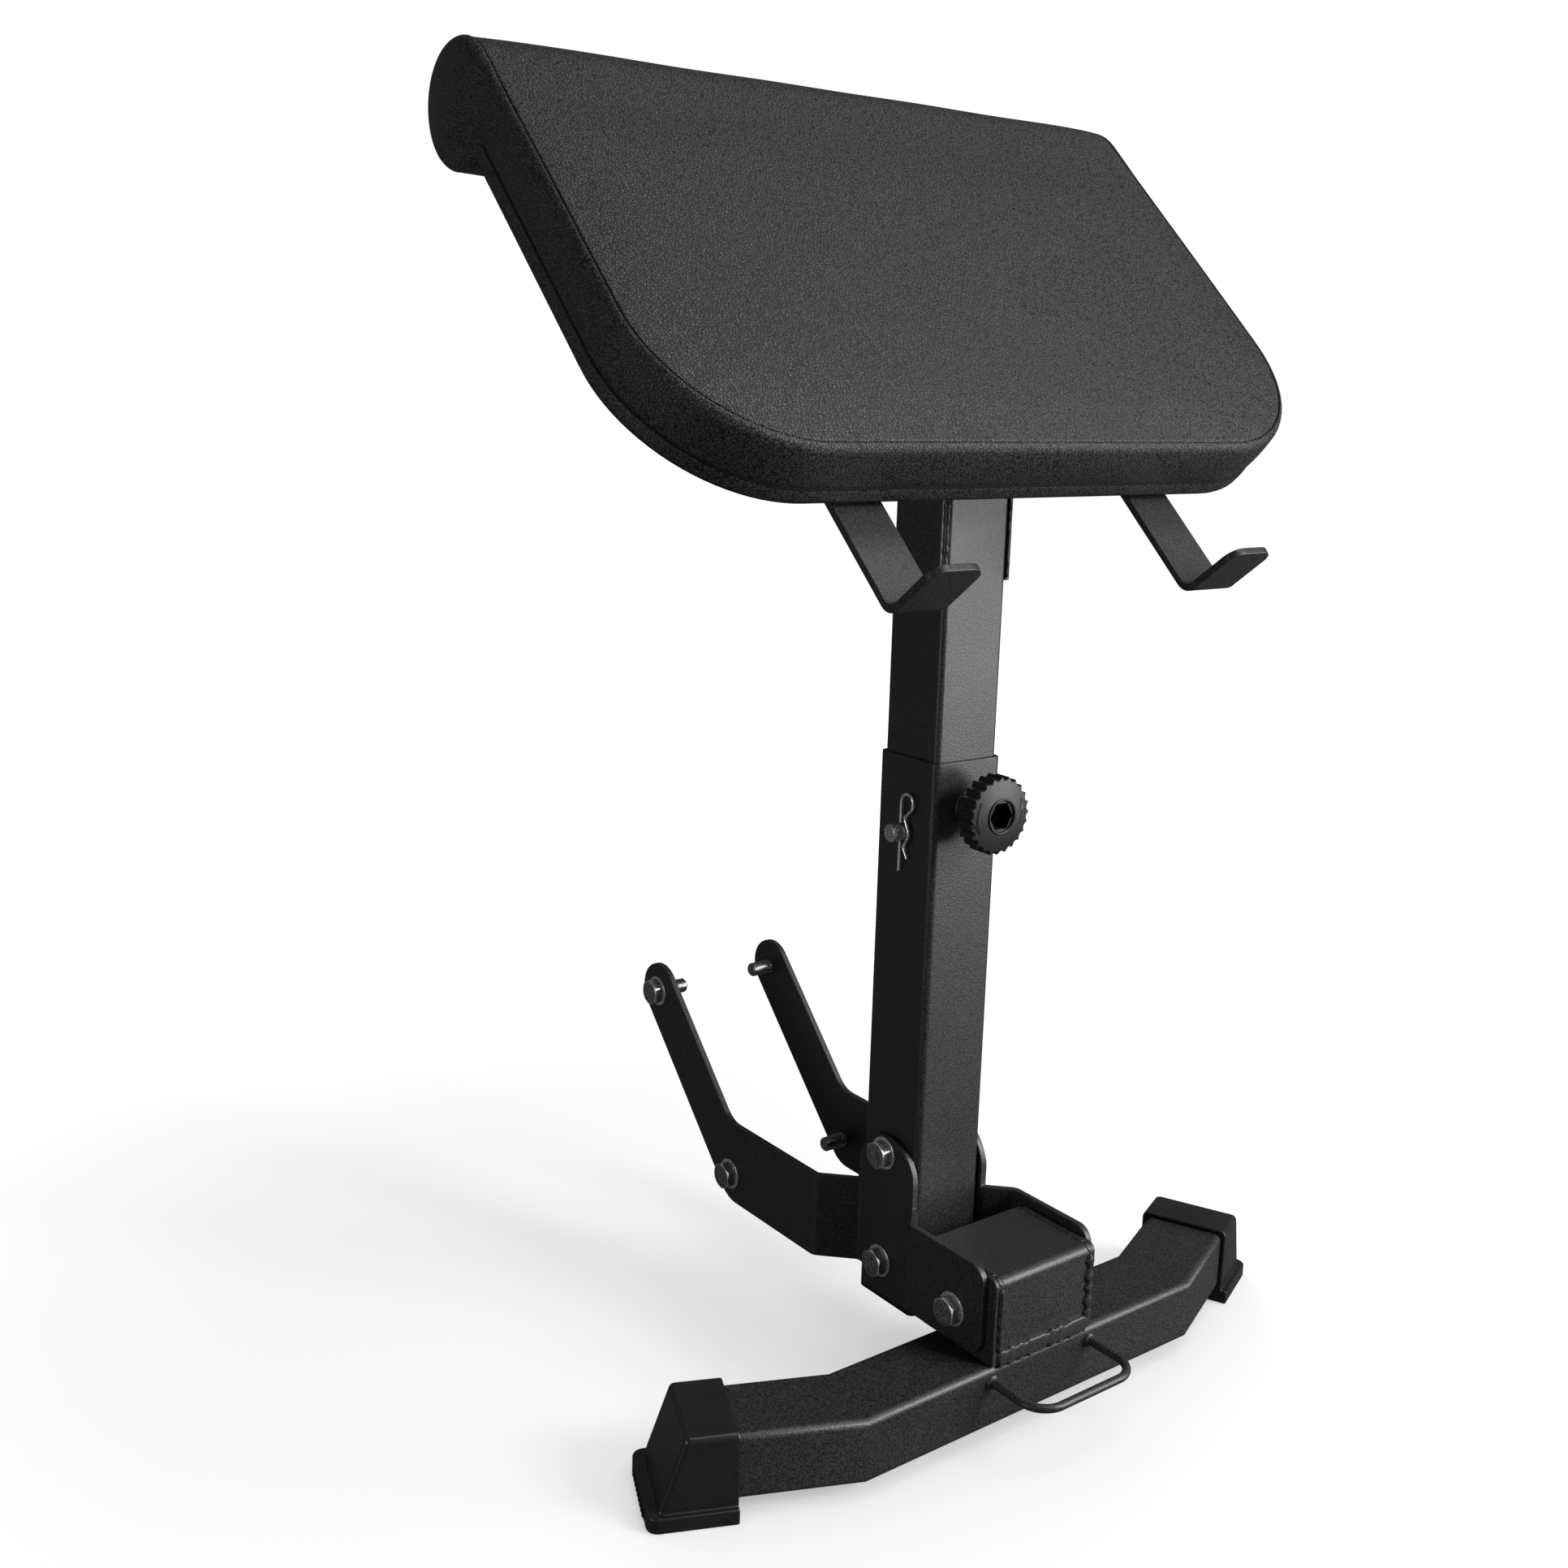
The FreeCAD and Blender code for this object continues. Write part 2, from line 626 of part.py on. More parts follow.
def base_bolt_hole():
    """Clearance hole for the bolt across the base box."""
    hole = BOLT_D + 2 * BOLT_HOLE_CLEAR
    return cylinder_x(hole, -2 * BASE_WIDTH, 2 * BASE_WIDTH, -BASE_BOLT_Y, BASE_BOLT_Z)


def make_base_cover():
    """Folded sheet between the side plates: the front and the top of the base box."""
    half = BASE_HALF - PLATE
    middle = COVER / 2
    line = [
        (FOOT_FRONT + middle, FOOT_TOP),
        (FOOT_FRONT + middle, BASE_TOP - middle),
        (FOOT_FRONT + BASE_DEPTH, BASE_TOP - middle),
    ]
    return rounded_plate(strip_corners(line, COVER_BEND_R, COVER), along_x(-half), Vec(2 * half, 0, 0))


def arm_outline():
    """Side view of one arm: base flat, round lobe on the post, strip and rising arm."""
    rise = math.radians(ARM_RISE)
    ahead = (math.cos(rise), math.sin(rise))
    side = (math.sin(rise), -math.cos(rise))
    half = ARM_WIDTH / 2
    end = (ARM_REACH + half * ahead[0], ARM_HEIGHT + half * ahead[1])
    front = (end[0] - half * side[0], end[1] - half * side[1])
    back = (end[0] + half * side[0], end[1] + half * side[1])
    inner_knee = front[0] - (front[1] - STRIP_HIGH) * ahead[0] / ahead[1]
    outer_knee = back[0] - (back[1] - STRIP_LOW) * ahead[0] / ahead[1]
    lobe = OUTER_HALF + LOBE_OVERHANG
    lobe_back = OUTER_HALF - LOBE_OVERHANG
    lobe_r = (lobe + lobe_back) / 2
    return [
        (-STRIP_FRONT, STRIP_LOW, STRIP_CORNER),
        (-STRIP_FRONT, STRIP_HIGH, STRIP_CORNER),
        (-lobe, STRIP_HIGH, 0),
        (-lobe, LOBE_TOP, lobe_r),
        (lobe_back, LOBE_TOP, lobe_r),
        (lobe_back, STRIP_HIGH, 0),
        (inner_knee, STRIP_HIGH, KNEE_INNER_R),
        (front[0], front[1], half),
        (back[0], back[1], half),
        (outer_knee, STRIP_LOW, KNEE_OUTER_R),
    ]


def make_right_arm_plate():
    """One bent plate: outside the base box, joggled in to the post and out again to the bench."""
    base_line = BASE_HALF + PLATE / 2
    post_line = OUTER_HALF + PLATE / 2
    arm_line = ARM_FACE - PLATE / 2
    far = ARM_REACH + ARM_WIDTH
    front_step = -OUTER_HALF - LOBE_OVERHANG
    line = [
        (base_line, -STRIP_FRONT - PLATE),
        (base_line, front_step - (base_line - post_line)),
        (post_line, front_step),
        (post_line, JOGGLE_START),
        (arm_line, JOGGLE_START + arm_line - post_line),
        (arm_line, far),
    ]
    tall = Vec(0, 0, 2 * ARM_HEIGHT)
    bent = rounded_plate(strip_corners(line, BEND_R, PLATE), along_z(0), tall)
    plate = bent.common(rounded_plate(arm_outline(), along_x(0), Vec(2 * ARM_FACE, 0, 0)))
    plate = plate.cut(base_bolt_hole())
    hole = BOLT_D + 2 * BOLT_HOLE_CLEAR
    spots = [(0, POST_BOLT_HIGH), (0, POST_BOLT_LOW), ARM_BOLT_HIGH, ARM_BOLT_LOW]
    for y, z in spots:
        plate = plate.cut(cylinder_x(hole, 0, 2 * ARM_FACE, y, z))
    return plate


def through_sets():
    """Seats of the bolts that cross the stand: (half width over the plates, y, z)."""
    post = OUTER_HALF + PLATE
    base = BASE_HALF + PLATE
    return [(post, 0, POST_BOLT_HIGH), (post, 0, POST_BOLT_LOW), (base, -BASE_BOLT_Y, BASE_BOLT_Z)]


def make_through_bolts(sets):
    """Bolts with their heads on the left, long enough for a washer at each end and a nut."""
    bolts = []
    for half, y, z in sets:
        grip = 2 * half + 2 * WASHER
        bolt = hex_bolt(BOLT_D, BOLT_THREAD_D, BOLT_AF, BOLT_HEAD, grip, NUT + BOLT_PAST_NUT)
        bolts.append(turned_to_x(bolt, -half - WASHER, y, z, -1))
    return Part.makeCompound(bolts)


def make_through_nuts(sets):
    """Nuts on the right-hand ends of the through bolts."""
    nut = hex_nut(BOLT_THREAD_D, BOLT_AF, NUT)
    return Part.makeCompound([turned_to_x(nut, half + WASHER, y, z, 1) for half, y, z in sets])


def make_through_washers(sets):
    """Flat washers under the heads and nuts of the through bolts."""
    washer = ring(WASHER_D, BOLT_D + 2 * WASHER_CLEAR, 0, WASHER)
    pieces = []
    for half, y, z in sets:
        pieces.append(turned_to_x(washer, -half, y, z, -1))
        pieces.append(turned_to_x(washer, half, y, z, 1))
    return Part.makeCompound(pieces)


def bench_spots():
    """Both bolt places on both arms: (side, y, z)."""
    return [(side, y, z) for side in (-1, 1) for y, z in (ARM_BOLT_HIGH, ARM_BOLT_LOW)]


def make_bench_bolts():
    """Bolts through the arms whose free ends point inwards, to take the bench's frame."""
    bolt = hex_bolt(BOLT_D, BOLT_THREAD_D, BOLT_AF, BOLT_HEAD, WASHER + PLATE, STUD_REACH)
    seat = ARM_FACE + WASHER
    return Part.makeCompound([turned_to_x(bolt, side * seat, y, z, side) for side, y, z in bench_spots()])


def make_bench_washers():
    """Flat washers under the heads of the bench bolts."""
    washer = ring(WASHER_D, BOLT_D + 2 * WASHER_CLEAR, 0, WASHER)
    pieces = [turned_to_x(washer, side * ARM_FACE, y, z, side) for side, y, z in bench_spots()]
    return Part.makeCompound(pieces)


def make_right_cheek():
    """Flat bar on the side of the inner tube, up to the head plate."""
    slope = math.radians(PAD_SLOPE)
    head = PAD_FRONT_Z + (-CHEEK_FORWARD - PAD_FRONT_Y) * math.tan(slope) + HEAD_LOW / math.cos(slope)
    low = Vec(INNER_HALF, -CHEEK_FORWARD - CHEEK_WIDTH / 2, head - CHEEK_LENGTH)
    bar = Part.makeBox(CHEEK, CHEEK_WIDTH, CHEEK_LENGTH + CHEEK_WIDTH, low)
    return bar.cut(above_head())


def hook_outer():
    """Half of the width over both bar hooks."""
    return (HOOK_SPACING + HOOK_WIDTH) / 2


def pad_bolt_spots():
    """Pad bolts in pairs on both cross plates: (x, place up the slope)."""
    rows = (HEAD_FRONT + HEAD_LENGTH / 4, REAR_BAR_FRONT + REAR_BAR_LENGTH / 2)
    return [(side * PAD_BOLT_SPACING / 2, row) for row in rows for side in (-1, 1)]


def cross_plate(front, length):
    """Flat plate under the board, from one hook to the other, drilled for the pad bolts."""
    half = hook_outer()
    plate = Part.makeBox(2 * half, length, HEAD_PLATE, Vec(-half, front, HEAD_LOW))
    for x, row in pad_bolt_spots():
        plate = plate.cut(cylinder_z(PAD_BOLT_D + 2 * PAD_BOLT_CLEAR, HEAD_LOW, HEAD_TOP, x, row))
    return on_slope(plate)


def make_right_hook():
    """Flat bar under the pad that runs down to the front and turns up into a lip."""
    middle = HEAD_LOW - HOOK_PLATE / 2
    lip_turn = math.radians(HOOK_ANGLE)
    lip_end = (-HOOK_BEND + HOOK_LIP * math.cos(lip_turn), middle + HOOK_LIP * math.sin(lip_turn))
    line = [(HOOK_UNDER, middle), (-HOOK_BEND, middle), lip_end]
    inner = (HOOK_SPACING - HOOK_WIDTH) / 2
    corners = strip_corners(line, HOOK_BEND_R, HOOK_PLATE)
    hook = rounded_plate(corners, along_x(inner), Vec(HOOK_WIDTH, 0, 0))
    tips = []
    for edge in hook.Edges:
        centre = edge.CenterOfMass
        near_tip = math.hypot(centre.y - lip_end[0], centre.z - lip_end[1]) < HOOK_PLATE
        if near_tip and edge.BoundBox.XLength < 1e-6 and abs(edge.Length - HOOK_PLATE) < 1e-6:
            tips.append(edge)
    return on_slope(hook.makeFillet(HOOK_LIP_CORNER, tips))


def pad_plan(low, high, front, back):
    """Prism of the pad's outline seen square to its face, with large rounded front corners."""
    half = PAD_WIDTH / 2
    corners = [
        (-half, front, PAD_CORNER),
        (half, front, PAD_CORNER),
        (half, back, PAD_BACK_CORNER),
        (-half, back, PAD_BACK_CORNER),
    ]
    return rounded_plate(corners, along_z(low), Vec(0, 0, high - low))


def board_length():
    """Length of the board, from the front edge to the roll."""
    return PAD_FLAT - ROLL_R


def make_pad_board():
    """Board under the foam, drilled and counterbored for the tee nuts."""
    board = pad_plan(HEAD_TOP, -PAD_FOAM, 0, board_length())
    for x, row in pad_bolt_spots():
        board = board.cut(cylinder_z(TNUT_D, HEAD_TOP, -PAD_FOAM, x, row))
        board = board.cut(cylinder_z(TNUT_FLANGE_D, -PAD_FOAM - TNUT_FLANGE, -PAD_FOAM, x, row))
    return on_slope(board)


def cushion_section(x):
    """Outline of the foam across the slope at x: drawn-in front, crowned top and round end roll."""
    share = 2 * x / PAD_WIDTH
    crown = PAD_CROWN_SIDE + (PAD_CROWN - PAD_CROWN_SIDE) * (1 - share**2)
    low = -PAD_FOAM
    place = along_x(x)
    diagonal = ROLL_R * math.sqrt(0.5)
    middle = (PAD_FLAT, -ROLL_R)
    start = place(PAD_DRAW, low)
    front = place(PAD_DRAW, 0)
    top = place(PAD_FLAT, 0)
    far = place(PAD_FLAT + ROLL_R, -ROLL_R)
    under = place(PAD_FLAT, -2 * ROLL_R)
    near = place(board_length(), -ROLL_R)
    notch = place(board_length(), low)
    edges = [
        Part.Arc(start, place(0, low / 2), front).toShape(),
        Part.Arc(front, place(PAD_FLAT / 2, crown), top).toShape(),
        Part.Arc(top, place(middle[0] + diagonal, middle[1] + diagonal), far).toShape(),
        Part.Arc(far, place(middle[0] + diagonal, middle[1] - diagonal), under).toShape(),
        Part.Arc(under, place(middle[0] - diagonal, middle[1] - diagonal), near).toShape(),
        Part.LineSegment(near, notch).toShape(),
        Part.LineSegment(notch, start).toShape(),
    ]
    return Part.Wire(edges)


def make_pad_cushion():
    """Foam and cover on the board: crowned slab with a round roll along its upper end."""
    half = PAD_WIDTH / 2
    places = [-half + PAD_WIDTH * i / (PAD_SECTIONS - 1) for i in range(PAD_SECTIONS)]
    foam = Part.makeLoft([cushion_section(x) for x in places], True, False)
    reach = PAD_FLAT + 2 * ROLL_R
    foam = foam.common(pad_plan(-3 * ROLL_R, 3 * ROLL_R, 0, reach))
    return on_slope(foam)


def make_pad_bolts():
    """Bolts from below through the cross plates into the board."""
    grip = PAD_WASHER + HEAD_PLATE
    bolt = hex_bolt(PAD_BOLT_D, PAD_BOLT_D, PAD_BOLT_AF, PAD_BOLT_HEAD, grip, PAD_BOARD - TNUT_FLANGE)
    bolt = bolt.mirror(Vec(0, 0, 0), Vec(0, 0, 1))
    return pad_group(bolt, HEAD_LOW - PAD_WASHER)


def make_pad_washers():
    """Washers under the heads of the pad bolts."""
    washer = ring(PAD_WASHER_D, PAD_BOLT_D + 2 * PAD_BOLT_CLEAR, 0, PAD_WASHER)
    return pad_group(washer, HEAD_LOW - PAD_WASHER)


def make_tee_nuts():
    """Flanged nuts let into the top of the board."""
    barrel = cylinder_z(TNUT_D, HEAD_TOP, -PAD_FOAM, 0, 0)
    flange = cylinder_z(TNUT_FLANGE_D, -PAD_FOAM - TNUT_FLANGE, -PAD_FOAM, 0, 0)
    nut = barrel.fuse(flange).removeSplitter()
    return pad_group(nut.cut(cylinder_z(PAD_BOLT_D, HEAD_TOP, -PAD_FOAM, 0, 0)), 0)


def pad_group(piece, height):
    """One copy of a pad fastener at each pad bolt."""
    copies = []
    for x, row in pad_bolt_spots():
        copy = piece.copy()
        copy.translate(Vec(x, row, height))
        copies.append(copy)
    return on_slope(Part.makeCompound(copies))


def all_pieces():
    """Every piece of the stand by its node name."""
    post_sets = through_sets()[:2]
    base_sets = through_sets()[2:]
    pieces = {
        "foot_tube": make_foot_tube(),
        "foot_loop": make_foot_loop(),
        "base_cover": make_base_cover(),
        "outer_post": make_outer_post(),
        "outer_post_plug": end_plug(OUTER_SIZE, OUTER_WALL, OUTER_CORNER, POST_BOTTOM, 1),
        "post_bolts": make_through_bolts(post_sets),
        "post_nuts": make_through_nuts(post_sets),
        "base_bolt": make_through_bolts(base_sets),
        "base_nut": make_through_nuts(base_sets),
        "post_washers": make_through_washers(post_sets),
        "base_washers": make_through_washers(base_sets),
        "bench_bolts": make_bench_bolts(),
        "bench_washers": make_bench_washers(),
        "weld_nut": make_weld_nut(),
        "clamp_screw": make_clamp_screw(),
        "knob": make_knob(),
        "lock_pin": make_lock_pin(),
        "r_clip": make_r_clip(),
        "inner_post": make_inner_post(),
        "inner_post_plug": end_plug(INNER_SIZE, INNER_WALL, INNER_CORNER, INNER_BOTTOM, 1),
        "head_plate": cross_plate(HEAD_FRONT, HEAD_LENGTH),
        "rear_crossbar": cross_plate(REAR_BAR_FRONT, REAR_BAR_LENGTH),
        "pad_board": make_pad_board(),
        "pad_cushion": make_pad_cushion(),
        "pad_bolts": make_pad_bolts(),
        "pad_washers": make_pad_washers(),
        "tee_nuts": make_tee_nuts(),
    }
    pairs = {
        "foot_cap": make_right_foot_cap(),
        "side_plate": make_right_side_plate(),
        "arm_plate": make_right_arm_plate(),
        "cheek_plate": make_right_cheek(),
        "bar_hook": make_right_hook(),
    }
    for name, right in pairs.items():
        pieces["right_" + name] = right
        pieces["left_" + name] = mirrored(right)
    return pieces


def main():
    """Write each piece to its own file, with the origin under the middle of the stand."""
    os.makedirs("parts", exist_ok=True)
    for name, shape in all_pieces().items():
        placed = shape.copy()
        placed.translate(Vec(0, -ORIGIN_Y, 0))
        placed.exportStep(os.path.join("parts", name + ".step"))


if __name__ == "__main__":
    main()
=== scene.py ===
"""Looks of a preacher curl stand: finishes, arm pad, welds and fasteners round the CAD frame."""

import logging
import math
from dataclasses import dataclass, field
from enum import Enum

import bmesh
import bpy
import numpy as np
from mathutils import Matrix, Vector


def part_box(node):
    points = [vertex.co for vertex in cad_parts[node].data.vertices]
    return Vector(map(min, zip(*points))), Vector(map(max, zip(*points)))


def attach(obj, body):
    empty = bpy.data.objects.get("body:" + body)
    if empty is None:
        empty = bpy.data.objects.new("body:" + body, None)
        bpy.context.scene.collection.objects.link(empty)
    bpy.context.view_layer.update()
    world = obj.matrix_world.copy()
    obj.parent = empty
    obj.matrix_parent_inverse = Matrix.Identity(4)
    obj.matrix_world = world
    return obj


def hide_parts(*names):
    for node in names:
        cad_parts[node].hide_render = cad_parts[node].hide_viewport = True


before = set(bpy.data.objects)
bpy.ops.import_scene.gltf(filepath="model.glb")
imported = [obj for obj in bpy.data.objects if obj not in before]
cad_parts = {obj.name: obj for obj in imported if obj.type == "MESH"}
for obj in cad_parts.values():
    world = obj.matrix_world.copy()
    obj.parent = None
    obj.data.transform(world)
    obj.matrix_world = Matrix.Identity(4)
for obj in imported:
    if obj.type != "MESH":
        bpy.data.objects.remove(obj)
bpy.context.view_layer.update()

LOG = logging.getLogger("curl_stand")
MM = 0.001
MERGE_MM = 0.001
WHITE = "#ffffff"
SMOOTH_DEG, FACET_DEG = 180.0, 40.0
MIX_A, MIX_B, MIX_COLOUR = 6, 7, 2
Array, Socket, Tree = np.ndarray, bpy.types.NodeSocket, bpy.types.NodeTree
# Stiff coated cloth on foam, in the units of the simulation.
CLOTH = {"quality": 6, "mass": 0.4, "tension_stiffness": 25, "compression_stiffness": 25,
         "shear_stiffness": 12, "bending_stiffness": 3, "air_damping": 8, "use_pressure": True}


class Body(Enum):
    """Bodies of the frame that the pieces ride on."""

    BASE = "base"
    MAST = "mast"
    SCREW = "screw"
    KNOB = "knob"
    PIN = "pin"
    CLIP = "clip"


def linear(code: str) -> tuple:
    """Turns an sRGB hex colour into linear red, green, blue and alpha.

    Args:
        code: Colour such as "#303030".

    Returns:
        Four floats for a colour socket.
    """
    srgb = np.array([int(code[i:i + 2], 16) for i in (1, 3, 5)]) / 255
    values = np.where(srgb <= 0.04045, srgb / 12.92, ((srgb + 0.055) / 1.055) ** 2.4)
    return (*values.tolist(), 1.0)


def per_metre(size_mm: float) -> float:
    """Scale, for coordinates in metres, of a texture with features of a size in millimetres."""
    return 1 / (size_mm * MM)


def add(tree: Tree, kind: str, inputs: dict | None = None,
        **settings: object) -> bpy.types.Node:
    """Adds a shader node, with its settings, its constant inputs and its links.

    Args:
        tree: Node tree that takes the node.
        kind: Node type.
        inputs: Input name or index to a constant, or to the socket that feeds it.
        settings: Properties of the node.

    Returns:
        The new node.
    """
    made = tree.nodes.new(kind)
    for name, value in settings.items():
        setattr(made, name, value)
    for name, value in (inputs or {}).items():
        if isinstance(value, Socket):
            tree.links.new(value, made.inputs[name])
        else:
            made.inputs[name].default_value = value
    return made


def node_material(name: str) -> tuple:
    """Starts a material with an empty node tree.

    Args:
        name: Name of the material.

    Returns:
        The material and its tree.
    """
    made = bpy.data.materials.new(name)
    made.use_nodes = True
    made.node_tree.nodes.clear()
    return made, made.node_tree


@dataclass(frozen=True)
class Brush:
    """Paints one material: its node tree, its shader and the place on the object."""

    tree: Tree
    shader: bpy.types.Node
    place: Socket

    def noise(self, size_mm: float, detail: float = 2.0, output: int = 0, **extra: float) -> Socket:
        """Noise with features of a size: output 0 is its value and output 1 its colour."""
        inputs = {"Vector": self.place, "Scale": per_metre(size_mm), "Detail": detail, **extra}
        return add(self.tree, "ShaderNodeTexNoise", inputs).outputs[output]

    def span(self, value: Socket, start: float = 0.0, end: float = 1.0,
             low: float = 0.0, high: float = 1.0) -> Socket:
        """Maps the values from start to end onto those from low to high, and holds them there."""
        inputs = {"Value": value, "From Min": start, "From Max": end, "To Min": low, "To Max": high}
        return add(self.tree, "ShaderNodeMapRange", inputs).outputs[0]

    def mix(self, share: Socket | float, first: Socket | tuple | str,
            second: Socket | tuple | str, blend: str = "MIX") -> Socket:
        """Mixes two colours.

        Args:
            share: How much of the second there is.
            first: Colour as a socket, as linear values or as a hex code.
            second: The same for the other colour.
            blend: Way of mixing.

        Returns:
            The mixed colour.
        """
        first, second = (linear(c) if isinstance(c, str) else c for c in (first, second))
        inputs = {0: share, MIX_A: first, MIX_B: second}
        made = add(self.tree, "ShaderNodeMix", inputs, data_type="RGBA", blend_type=blend)
        return made.outputs[MIX_COLOUR]

    def product(self, first: Socket, second: Socket) -> Socket:
        """Multiplies two values."""
        inputs = {0: first, 1: second}
        return add(self.tree, "ShaderNodeMath", inputs, operation="MULTIPLY").outputs[0]

    def tag(self) -> Socket:
        """Reads the mesh attribute "tag"."""
        return add(self.tree, "ShaderNodeAttribute", attribute_name="tag").outputs["Fac"]

    def feed(self, name: str, value: Socket) -> None:
        """Links a value to an input of the shader."""
        self.tree.links.new(value, self.shader.inputs[name])

    def emboss(self, height: Socket, relief_mm: float, strength: float) -> None:
        """Raises the surface by a bump of a height in millimetres, of which a share shows."""
        inputs = {"Height": height, "Strength": strength, "Distance": relief_mm * MM}
        self.feed("Normal", add(self.tree, "ShaderNodeBump", inputs).outputs[0])


@dataclass(frozen=True)
class Finish:
    """A surface finish: its typical optical values and the pattern that its subclass paints."""

    name: str
    slot: str
    dark: str
    light: str
    grain_mm: float
    roughness: float
    metallic: float = 0.0
    specular: float = 0.5
    relief_mm: float = 0.1
    strength: float = 0.6

    def material(self) -> bpy.types.Material:
        """Builds the material once.

        Returns:
            The material, also when it was built before.
        """
        found = bpy.data.materials.get(self.name)
        if found:
            return found
        made, tree = node_material(self.name)
        values = {"Roughness": self.roughness, "Metallic": self.metallic,
                  "Specular IOR Level": self.specular}
        shader = add(tree, "ShaderNodeBsdfPrincipled", values)
        add(tree, "ShaderNodeOutputMaterial", {"Surface": shader.outputs[0]})
        place = add(tree, "ShaderNodeTexCoord").outputs["Object"]
        self.paint(Brush(tree, shader, place))
        return made

    def tones(self, brush: Brush, value: Socket, start: float, end: float) -> Socket:
        """Turns the values from start to end into the finish's dark to light colours."""
        return brush.mix(brush.span(value, start, end), self.dark, self.light)

    def cloud(self, brush: Brush, size_mm: float, vary: float) -> None:
        """Varies the roughness down and up in broad clouds of a size."""
        low, high = self.roughness - vary, self.roughness + vary
        brush.feed("Roughness", brush.span(brush.noise(size_mm), low=low, high=high))

    def paint(self, brush: Brush) -> None:
        """Paints the finish's pattern; each finish has its own."""
        raise NotImplementedError


@dataclass(frozen=True)
class PowderCoat(Finish):
    """Baked fine-texture powder coat: a wrinkled skin with painted glints, its crests painted
    lighter as highlight and its hollows darker as shade.

    The real grain is about 0.6 mm; it is drawn about twice as coarse so that it shows.
    """

    relief_mm: float = 0.2
    strength: float = 0.9
    painted_glint: str = "#3c3c3c"
    painted_glint_size: float = 0.8
    painted_glint_share: float = 0.7
    cloud_mm: float = 70.0
    gloss_vary: float = 0.06

    def paint(self, brush: Brush) -> None:
        """Grain paints the crests lighter as highlight and the hollows darker as shade, and raises
        the skin; rarer painted glints stand out of it.

        Args:
            brush: Painter of the material.
        """
        grain = brush.noise(self.grain_mm)
        # Painted highlight and shade: the grain that raises the skin also paints its crests lighter
        # and its hollows darker.
        skin = self.tones(brush, grain, 0.4, 0.6)
        # Painted glints: rarer pale spots mixed into the colour as highlights.
        spots = brush.noise(self.grain_mm * self.painted_glint_size, 1.0, Distortion=0.4)
        share = brush.span(spots, 0.6, 0.74, high=self.painted_glint_share)
        brush.feed("Base Color", brush.mix(share, skin, self.painted_glint))
        self.cloud(brush, self.cloud_mm, self.gloss_vary)
        brush.emboss(grain, self.relief_mm, self.strength)


@dataclass(frozen=True)
class Moulded(Finish):
    """Moulded rubber or nylon: even colour from the melt, with the mould's matt texture.

    Hollows that the mesh tags get painted shade: a near-black colour and no gloss.
    """

    relief_mm: float = 0.05
    # Near-black painted as shade into the tagged hollows.
    painted_shade_colour: str = "#060606"
    cloud_mm: float = 25.0

    def paint(self, brush: Brush) -> None:
        """Fine grain gives a slight bump, and broad clouds vary the colour where the mould wore.

        Args:
            brush: Painter of the material.
        """
        grain = brush.noise(self.grain_mm, 3.0)
        both = brush.product(grain, brush.noise(self.cloud_mm, 3.0))
        # Painted shade: where the tag is set, the colour turns near-black and the gloss goes.
        hollow = brush.tag()
        brush.feed("Base Color", brush.mix(hollow, self.tones(brush, both, 0.12, 0.4), self.painted_shade_colour))
        brush.feed("Specular IOR Level", brush.span(hollow, low=self.specular, high=0.0))
        brush.emboss(grain, self.relief_mm, self.strength)


@dataclass(frozen=True)
class ZincPlate(Finish):
    """Electroplated zinc on steel: a dull mottled metal with darker patches and fine pits.

    Edges that the mesh tags get a painted highlight, near white.
    """

    relief_mm: float = 0.04
    painted_highlight_colour: str = "#fbfaf8"
    duller: float = 0.12
    brighter: float = 0.08

    def paint(self, brush: Brush) -> None:
        """Patches mix two metal tones and their roughness, and the grain pits the surface.

        Args:
            brush: Painter of the material.
        """
        patch = brush.noise(self.grain_mm, 5.0, Roughness=0.65)
        plate = self.tones(brush, patch, 0.38, 0.62)
        # Painted highlight: tagged edges turn near white.
        brush.feed("Base Color", brush.mix(brush.tag(), plate, self.painted_highlight_colour))
        rough, smooth = self.roughness + self.duller, self.roughness - self.brighter
        brush.feed("Roughness", brush.span(patch, 0.3, 0.7, rough, smooth))
        brush.emboss(patch, self.relief_mm, self.strength)


@dataclass(frozen=True)
class Leathercloth(Finish):
    """Vinyl leathercloth: an embossed pebble grain with valleys painted dark as shade and tops
    painted pale as highlight, under a satin lacquer.
    """

    relief_mm: float = 0.4
    strength: float = 0.9
    warp_size: float = 2.2
    warp_m: float = 0.0012
    pore_size: float = 0.55
    valley: float = 0.22
    cloud_mm: float = 90.0
    gloss_vary: float = 0.07

    def paint(self, brush: Brush) -> None:
        """Warped cells are the pebbles: their edges are low and painted dark as shade, and their
        tops high and painted pale as highlight.

        Args:
            brush: Painter of the material.
        """
        warp = brush.noise(self.grain_mm * self.warp_size, output=1)
        bent = brush.mix(self.warp_m, brush.place, warp, "LINEAR_LIGHT")
        inputs = {"Vector": bent, "Scale": per_metre(self.grain_mm)}
        cells = add(brush.tree, "ShaderNodeTexVoronoi", inputs, feature="DISTANCE_TO_EDGE")
        pores = brush.noise(self.grain_mm * self.pore_size)
        relief = brush.product(brush.span(cells.outputs[0], end=self.valley), pores)
        # Painted shade and highlight: the colour follows the relief, dark in the valleys and pale
        # on the tops.
        brush.feed("Base Color", self.tones(brush, relief, 0.05, 0.6))
        self.cloud(brush, self.cloud_mm, self.gloss_vary)
        brush.emboss(relief, self.relief_mm, self.strength)


